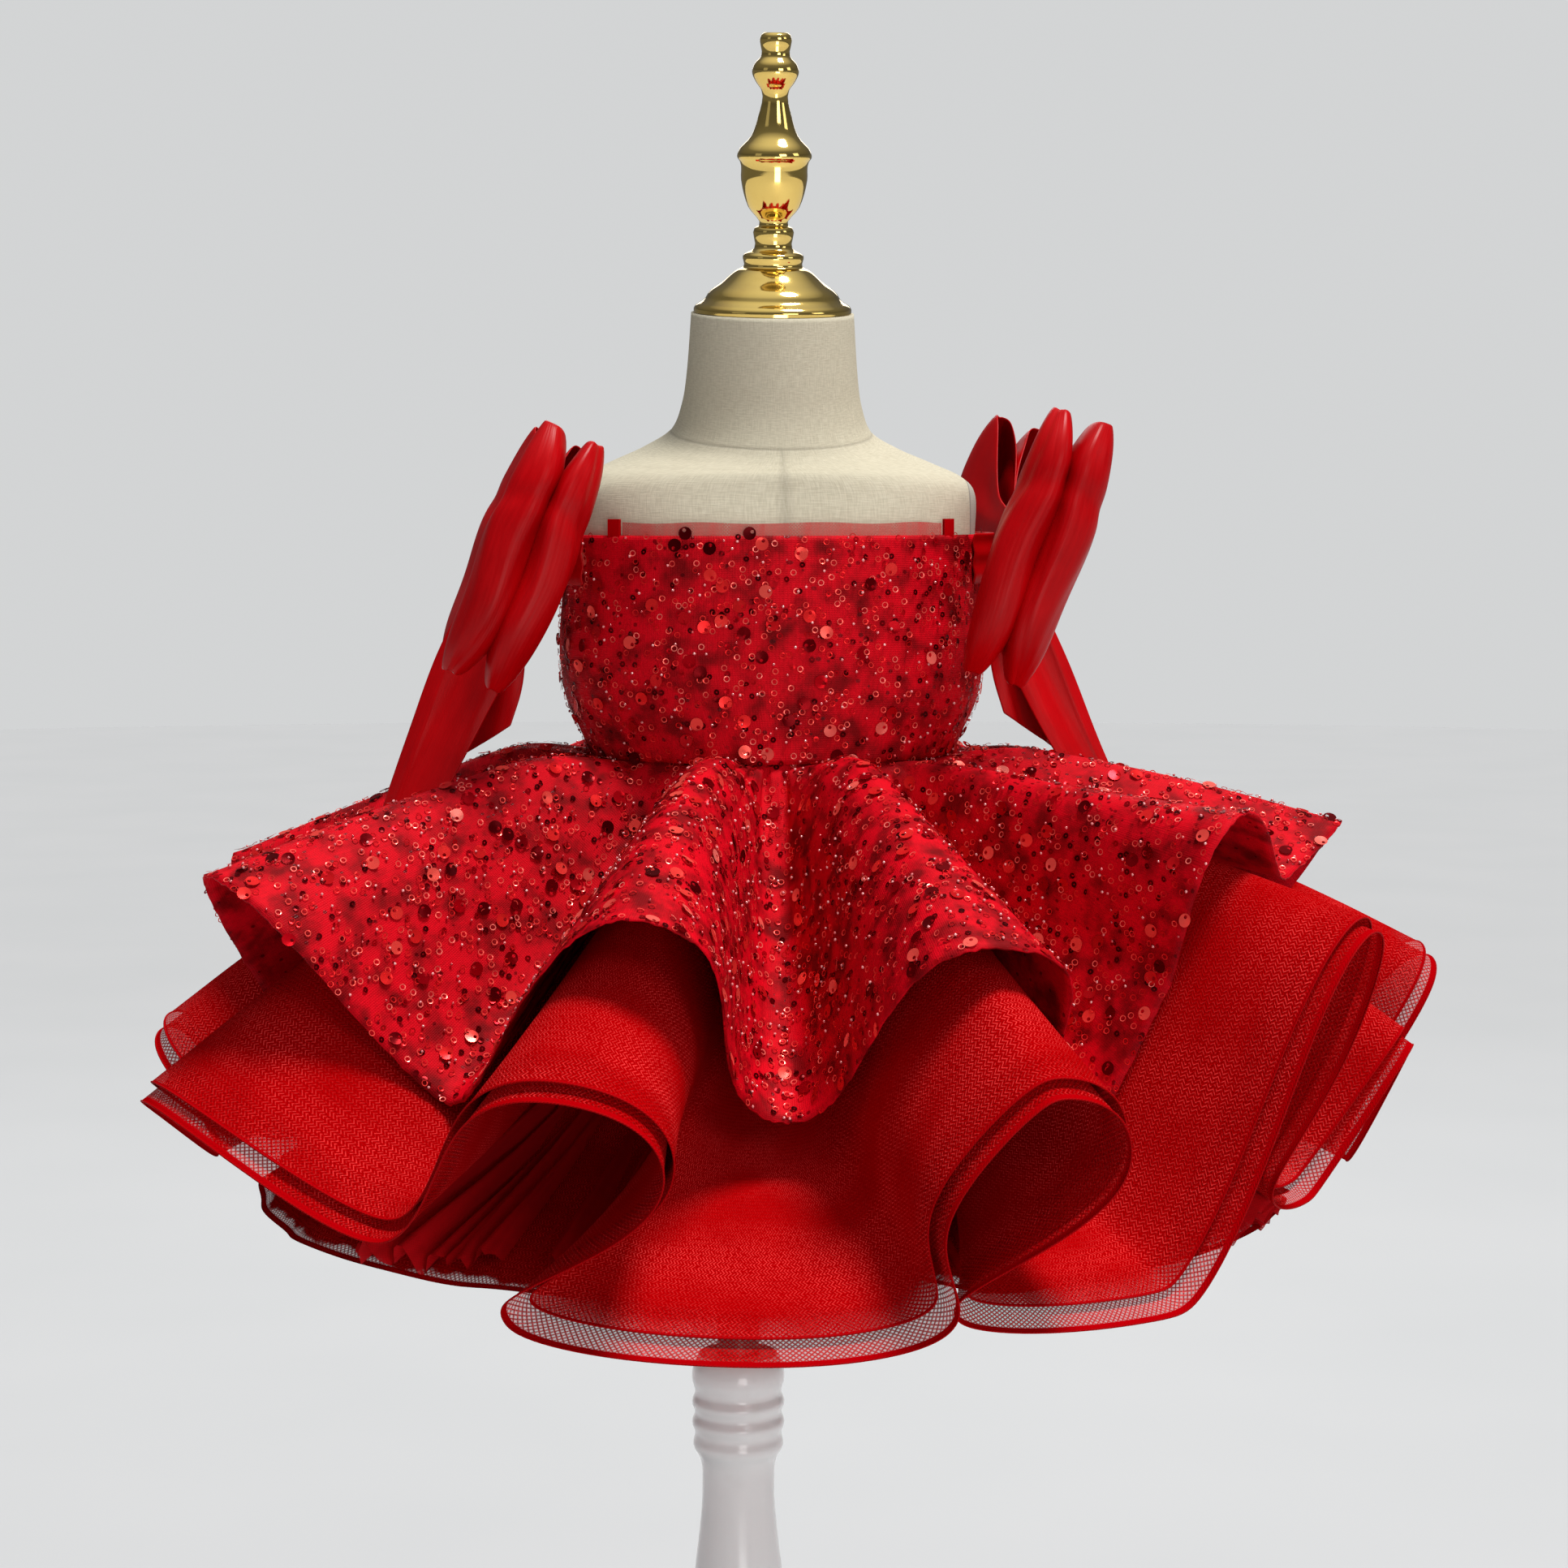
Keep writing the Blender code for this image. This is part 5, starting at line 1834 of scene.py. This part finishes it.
@dataclass
class LinenForm(Assembly):
    """The torso and neck under linen, with its seams drawn in.

    Each section is a height, half a width, half a depth, its middle's Y, a squareness and a tilt.
    """

    sections: Rows = (
        (0.8785, 0.0416, 0.0416, -0.004, 2.0, 7),
        (0.8500, 0.0436, 0.0436, -0.002, 2.0, 8),
        (0.8320, 0.0462, 0.0460, 0.000, 2.0, 10),
        (0.8180, 0.0520, 0.0500, 0.001, 2.0, 11),
        (0.8095, 0.0660, 0.0545, 0.002, 2.0, 8),
        (0.8025, 0.0830, 0.0580, 0.002, 2.1, 4),
        (0.7950, 0.0985, 0.0610, 0.002, 2.2, 0),
        (0.7850, 0.1055, 0.0640, 0.002, 2.3, 0),
        (0.7600, 0.1046, 0.0690, 0.000, 2.3, 0),
        (0.7300, 0.1050, 0.0720, -0.001, 2.3, 0),
        (0.7000, 0.1060, 0.0730, -0.001, 2.3, 0),
        (0.6800, 0.1020, 0.0725, 0.000, 2.2, 0),
        (0.6640, 0.0920, 0.0690, 0.000, 2.1, 0),
        (0.6500, 0.0838, 0.0660, 0.000, 2.0, 0),
        (0.6200, 0.0838, 0.0660, 0.000, 2.0, 0),
        (0.5900, 0.0860, 0.0690, 0.000, 2.0, 0),
        (0.5500, 0.0950, 0.0790, 0.000, 2.1, 0),
        (0.5100, 0.0970, 0.0820, 0.000, 2.2, 0),
        (0.4850, 0.0880, 0.0740, 0.000, 2.1, 0),
        (0.4700, 0.0620, 0.0520, 0.000, 2.0, 0),
    )
    around: int = 192
    per_section: int = 14
    seam_depth: float = 0.0007
    seam_width: float = 0.0014
    neck_seam_section: float = 3.0
    neck_seam_reach: float = 0.05
    neck_seam_strength: float = 0.42
    centre_seam_strength: float = 0.35

    def build(self) -> None:
        """Make the form as one closed piece."""
        angle = np.linspace(0, 2 * np.pi, self.around + 1)
        last_section = len(self.sections) - 1
        fine = np.linspace(0, last_section, last_section * self.per_section + 1)
        known = np.arange(last_section + 1)
        columns = [smooth_through(known, column, fine) for column in zip(*self.sections)]
        rows = []
        seams = []
        for place, z, wide, deep, centre_y, square, tilt in zip(fine, *columns):
            x, y = rounded_oval(angle, wide, deep, square)
            neck_seam = bell(place - self.neck_seam_section, self.neck_seam_reach)
            seam = np.full_like(angle, self.neck_seam_strength * neck_seam)
            for centre in (0.0, np.pi, 2 * np.pi):
                line = self.centre_seam_strength * bell((angle - centre) * wide, self.seam_width)
                seam = np.maximum(seam, line * (place > self.neck_seam_section))
            seams.append(seam)
            shrink = 1 - self.seam_depth * seam / np.hypot(x, y)
            rise = y * math.tan(math.radians(tilt))
            rows.append(np.stack([BUST_X + x * shrink, centre_y + y * shrink, z + rise], axis=-1))
        sheet = Sheet(np.array(rows), ring=True)
        grid = sheet.grid
        count = grid.shape[0] * grid.shape[1]
        low = count - grid.shape[1]
        faces = quads(grid)
        for j in range(self.around):
            faces.append((count, j, j + 1))
            faces.append((count + 1, low + j + 1, low + j))
        caps = np.array([grid[0, :-1].mean(axis=0), grid[-1, :-1].mean(axis=0)])
        uv = np.zeros((count + 2, 2))
        uv[:count, 0] = np.tile(angle * float(np.mean(columns[1])), grid.shape[0])
        uv[:count, 1] = np.repeat(sheet.uv()[..., 1].mean(axis=1), grid.shape[1])
        piece = piece_from(TORSO, np.concatenate([grid.reshape(-1, 3), caps]), faces, uv)
        mark_points(piece, SEAM_NAME, np.append(np.concatenate(seams), (0, 0)))
        weld(piece, 1e-6)
        finish_piece(piece, self.wardrobe.linen, "form_torso")


@dataclass
class Turning:
    """A turned piece: a ring that is drawn out along a profile of radius and height."""

    name: str
    node: str
    profile: Rows
    wear: Wear
    around: int = 72
    fineness: int = 4
    least_radius: float = 0.0008
    sharp_deg: float = 55

    def fine_profile(self) -> list[tuple[float, float]]:
        """The profile with points between, rounded where it turns.

        Returns:
            Radii and heights.
        """
        radii, heights = (np.array(column) for column in zip(*self.profile))
        along = np.concatenate([[0], np.cumsum(np.hypot(np.diff(radii), np.diff(heights)))])
        spans = [np.linspace(a, b, self.fineness + 1) for a, b in zip(along, along[1:])]
        fine = np.unique(np.concatenate(spans))
        rounder = [(smooth_through(along, radii, x), smooth_through(along, heights, x)) for x in fine]
        return [(max(float(r), self.least_radius), float(z)) for r, z in rounder]

    def build(self, place: Matrix | None = None) -> None:
        """Draw the piece out, close its ends and put it in place.

        Args:
            place: Where it goes, if not where its profile says.
        """
        rows = self.fine_profile()
        radius, height = rows[0]
        deselect()
        bpy.ops.mesh.primitive_circle_add(
            vertices=self.around, radius=radius, location=(0, 0, height), fill_type="NGON"
        )
        piece = bpy.context.active_object
        piece.name = self.name
        bpy.ops.object.transform_apply(location=True, rotation=True, scale=True)
        bpy.ops.object.mode_set(mode="EDIT")
        bpy.ops.mesh.select_all(action="SELECT")
        for next_radius, next_height in rows[1:]:
            up = (0.0, 0.0, next_height - height)
            scale = next_radius / radius
            bpy.ops.mesh.extrude_region_move(TRANSFORM_OT_translate={"value": up})
            bpy.ops.transform.resize(value=(scale, scale, 1.0), center_override=(0.0, 0.0, next_height))
            radius, height = next_radius, next_height
        bpy.ops.mesh.select_all(action="SELECT")
        bpy.ops.mesh.normals_make_consistent(inside=False)
        bpy.ops.object.mode_set(mode="OBJECT")
        if place is not None:
            piece.data.transform(place)
        piece.data.shade_smooth()
        piece.data.set_sharp_from_angle(angle=math.radians(self.sharp_deg))
        finish_piece(piece, self.wear, self.node)


@dataclass
class Stand(Assembly):
    """The gilt neck cap, the rod, the turned post and the round base, by radius and height."""

    cap_profile: Rows = (
        (0.0060, 0.1392), (0.0074, 0.1380), (0.0074, 0.1275), (0.0105, 0.1240), (0.0118, 0.1200),
        (0.0098, 0.1150), (0.0070, 0.1110), (0.0085, 0.0980), (0.0118, 0.0885), (0.0186, 0.0800),
        (0.0189, 0.0780), (0.0174, 0.0755), (0.0168, 0.0665), (0.0130, 0.0530), (0.0074, 0.0440),
        (0.0097, 0.0425), (0.0097, 0.0325), (0.0155, 0.0285), (0.0150, 0.0235), (0.0185, 0.0215),
        (0.0250, 0.0160), (0.0330, 0.0095), (0.0345, 0.0070), (0.0403, 0.0020), (0.0403, 0.0000),
    )
    rod_profile: Rows = ((0.011, 0.4697), (0.011, 0.3353))
    post_profile: Rows = (
        (0.0205, 0.3350), (0.0232, 0.3300), (0.0244, 0.3220), (0.0228, 0.3140), (0.0244, 0.3090),
        (0.0228, 0.3035), (0.0244, 0.2980), (0.0228, 0.2925), (0.0238, 0.2860), (0.0203, 0.2790),
        (0.0190, 0.2630), (0.0205, 0.2400), (0.0231, 0.2180), (0.0262, 0.1900), (0.0275, 0.1660),
        (0.0250, 0.1470), (0.0190, 0.1340), (0.0165, 0.1240), (0.0180, 0.1070), (0.0215, 0.0900),
        (0.0225, 0.0750),
    )
    base_profile: Rows = (
        (0.0250, 0.0747), (0.0290, 0.0660), (0.0420, 0.0510), (0.0700, 0.0380), (0.1050, 0.0280),
        (0.1300, 0.0190), (0.1400, 0.0110), (0.1400, 0.0030), (0.1370, 0.0000),
    )
    cap_seat: tuple[float, float, float] = (BUST_X, -0.004, 0.8788)
    cap_tilt_deg: float = 7

    def build(self) -> None:
        """Make the four pieces."""
        wear = self.wardrobe
        tilt = Matrix.Translation(self.cap_seat) @ Matrix.Rotation(math.radians(self.cap_tilt_deg), 4, "X")
        Turning("neck_cap_gilt", "neck_cap", self.cap_profile, wear.gilt).build(tilt)
        Turning("stand_rod_metal", "stand_rod", self.rod_profile, wear.rod_metal).build()
        Turning("stand_post_paint", "stand_post", self.post_profile, wear.white_gloss).build()
        Turning("stand_base_paint", "stand_base", self.base_profile, wear.white_gloss, around=128).build()


# The studio


@dataclass
class Studio:
    """The camera, the pale floor and the soft lights.

    The picture's middle lies right_px and down_px off the camera's level line. Each lamp is a name, a place,
    a side's length, a power in watts and a colour. The sky is a grey at each height, 0 below and 1 overhead.
    """

    focal_px: float = 3874.0
    image_px: float = 1932.0
    sensor: float = 36.0
    distance: float = 1.627
    eye_z: float = 0.790
    azimuth_deg: float = -6.0
    right_px: float = 15.0
    down_px: float = 366.0
    aim: tuple[float, float, float] = (BUST_X, 0.0, 0.65)
    lamps: tuple[tuple[Any, ...], ...] = (
        ("window_left", (-1.8, -1.2, 1.7), 0.8, 0.5, (0.95, 0.98, 1.0)),
        ("window_right", (2.0, -0.9, 1.8), 0.7, 2.5, (0.96, 0.98, 1.0)),
        ("front_soft", (0.90, -2.3, 1.60), 0.9, 9.0, (1.0, 0.99, 0.97)),
        ("low_soft", (0.25, -2.3, 0.30), 0.8, 8.0, (1.0, 0.98, 0.96)),
        ("back_soft", (0.3, 2.2, 1.9), 1.2, 10.0, (1.0, 1.0, 1.0)),
    )
    sun_strength: float = 3.5
    sun_size_deg: float = 16
    sun_colour: Colour = (1.0, 0.985, 0.96)
    sun_way: tuple[float, float, float] = (-0.50, 0.24, -1.75)
    sky_greys: Rows = ((0.0, 0.10), (0.44, 0.12), (0.55, 0.14), (0.63, 0.08), (0.82, 0.15), (1.0, 0.75))
    backdrop: Colour = (0.651, 0.660, 0.664)
    floor_radius: float = 9.0
    floor_greys: tuple[Colour, Colour] = ((0.465, 0.475, 0.485), (0.500, 0.505, 0.515))

    def put(self, name: str, data: Any, place: Sequence[float], ahead: Vector) -> Obj:
        """Stand a camera or a lamp somewhere.

        Args:
            name: Its name.
            data: The camera or the lamp.
            place: Where it stands.
            ahead: The direction in which it looks.

        Returns:
            Its object.
        """
        thing = bpy.data.objects.new(name, data)
        bpy.context.scene.collection.objects.link(thing)
        thing.location = place
        thing.rotation_euler = ahead.to_track_quat("-Z", "Y").to_euler()
        return thing

    def camera(self) -> None:
        """Stand the camera where the picture was taken from."""
        turn = math.radians(self.azimuth_deg)
        data = bpy.data.cameras.new("camera")
        data.sensor_width = self.sensor
        data.lens = self.sensor * self.focal_px / self.image_px
        data.clip_start = 0.05
        data.clip_end = 50.0
        place = (BUST_X + self.distance * math.sin(turn), -self.distance * math.cos(turn), self.eye_z)
        heading = turn + math.atan(self.right_px / self.focal_px)
        pitch = -math.atan(self.down_px / self.focal_px)
        ahead = Vector((-math.sin(turn), math.cos(turn), 0.0))
        ahead.rotate(Matrix.Rotation(turn - heading, 3, "Z"))
        ahead = Vector((ahead.x * math.cos(pitch), ahead.y * math.cos(pitch), math.sin(pitch)))
        bpy.context.scene.camera = self.put("camera", data, place, ahead)

    def floor(self) -> None:
        """A plain pale floor."""
        deselect()
        bpy.ops.mesh.primitive_circle_add(
            vertices=96, radius=self.floor_radius, fill_type="NGON", location=(0, 0, 0)
        )
        floor = bpy.context.active_object
        floor.name = "floor"
        recipe = Recipe("floor")
        recipe.shade(Base_Color=recipe.place().noise(3.0).mix(*self.floor_greys), Roughness=0.7)
        floor.data.materials.append(recipe.block)

    def sky(self) -> None:
        """A world that is dim round the horizon and bright overhead. The camera sees a plain grey."""
        recipe = Recipe("studio", world=True)
        bpy.context.scene.world = recipe.block
        up = recipe.node("TexCoord", output="Generated").split()[2]
        stops = [(height, (grey * 0.97, grey, grey * 1.03)) for height, grey in self.sky_greys]
        glow = (up * 0.5).maths("ADD", 0.5).ramp(stops)
        seen = recipe.node("LightPath", output="Is Camera Ray")
        recipe.shade(Color=seen.mix(glow, self.backdrop), Strength=1.0)

    def lights(self) -> None:
        """A broad soft key from above, the right and the front, and square lamps round the dress."""
        sun = bpy.data.lights.new("key_sun", "SUN")
        sun.energy = self.sun_strength
        sun.angle = math.radians(self.sun_size_deg)
        sun.color = self.sun_colour
        self.put("key_sun", sun, (0.0, 0.0, 0.0), Vector(self.sun_way))
        for name, place, size, power, colour in self.lamps:
            lamp = bpy.data.lights.new(name, "AREA")
            lamp.shape = "SQUARE"
            lamp.size = size
            lamp.energy = power
            lamp.color = colour
            self.put(name, lamp, place, Vector(self.aim) - Vector(place))

    def build(self) -> None:
        """Set up the whole studio."""
        bpy.context.scene.view_settings.view_transform = "Standard"
        self.sky()
        self.camera()
        self.floor()
        self.lights()


def main() -> None:
    """Make every piece in order."""
    logging.basicConfig(level=logging.INFO, format="%(name)s: %(message)s")
    deselect()
    Studio().build()
    wardrobe = Wardrobe()
    Stand(wardrobe).build()
    LinenForm(wardrobe).build()
    upper = Underskirt(wardrobe).build()
    Overskirt(wardrobe).build(upper)
    Petticoat(wardrobe).build()
    Bodice(wardrobe).build()
    for side in Side:
        ArmStrap(wardrobe, side).build()
    Bow(wardrobe, Side.RIGHT, 0.757, 24, 0.004, 0.24, loop_out=0.0055).build()
    Bow(wardrobe, Side.LEFT, 0.762, 18, 0.000, 0.26, droop=0.13).build()


if __name__ == "__main__":
    main()
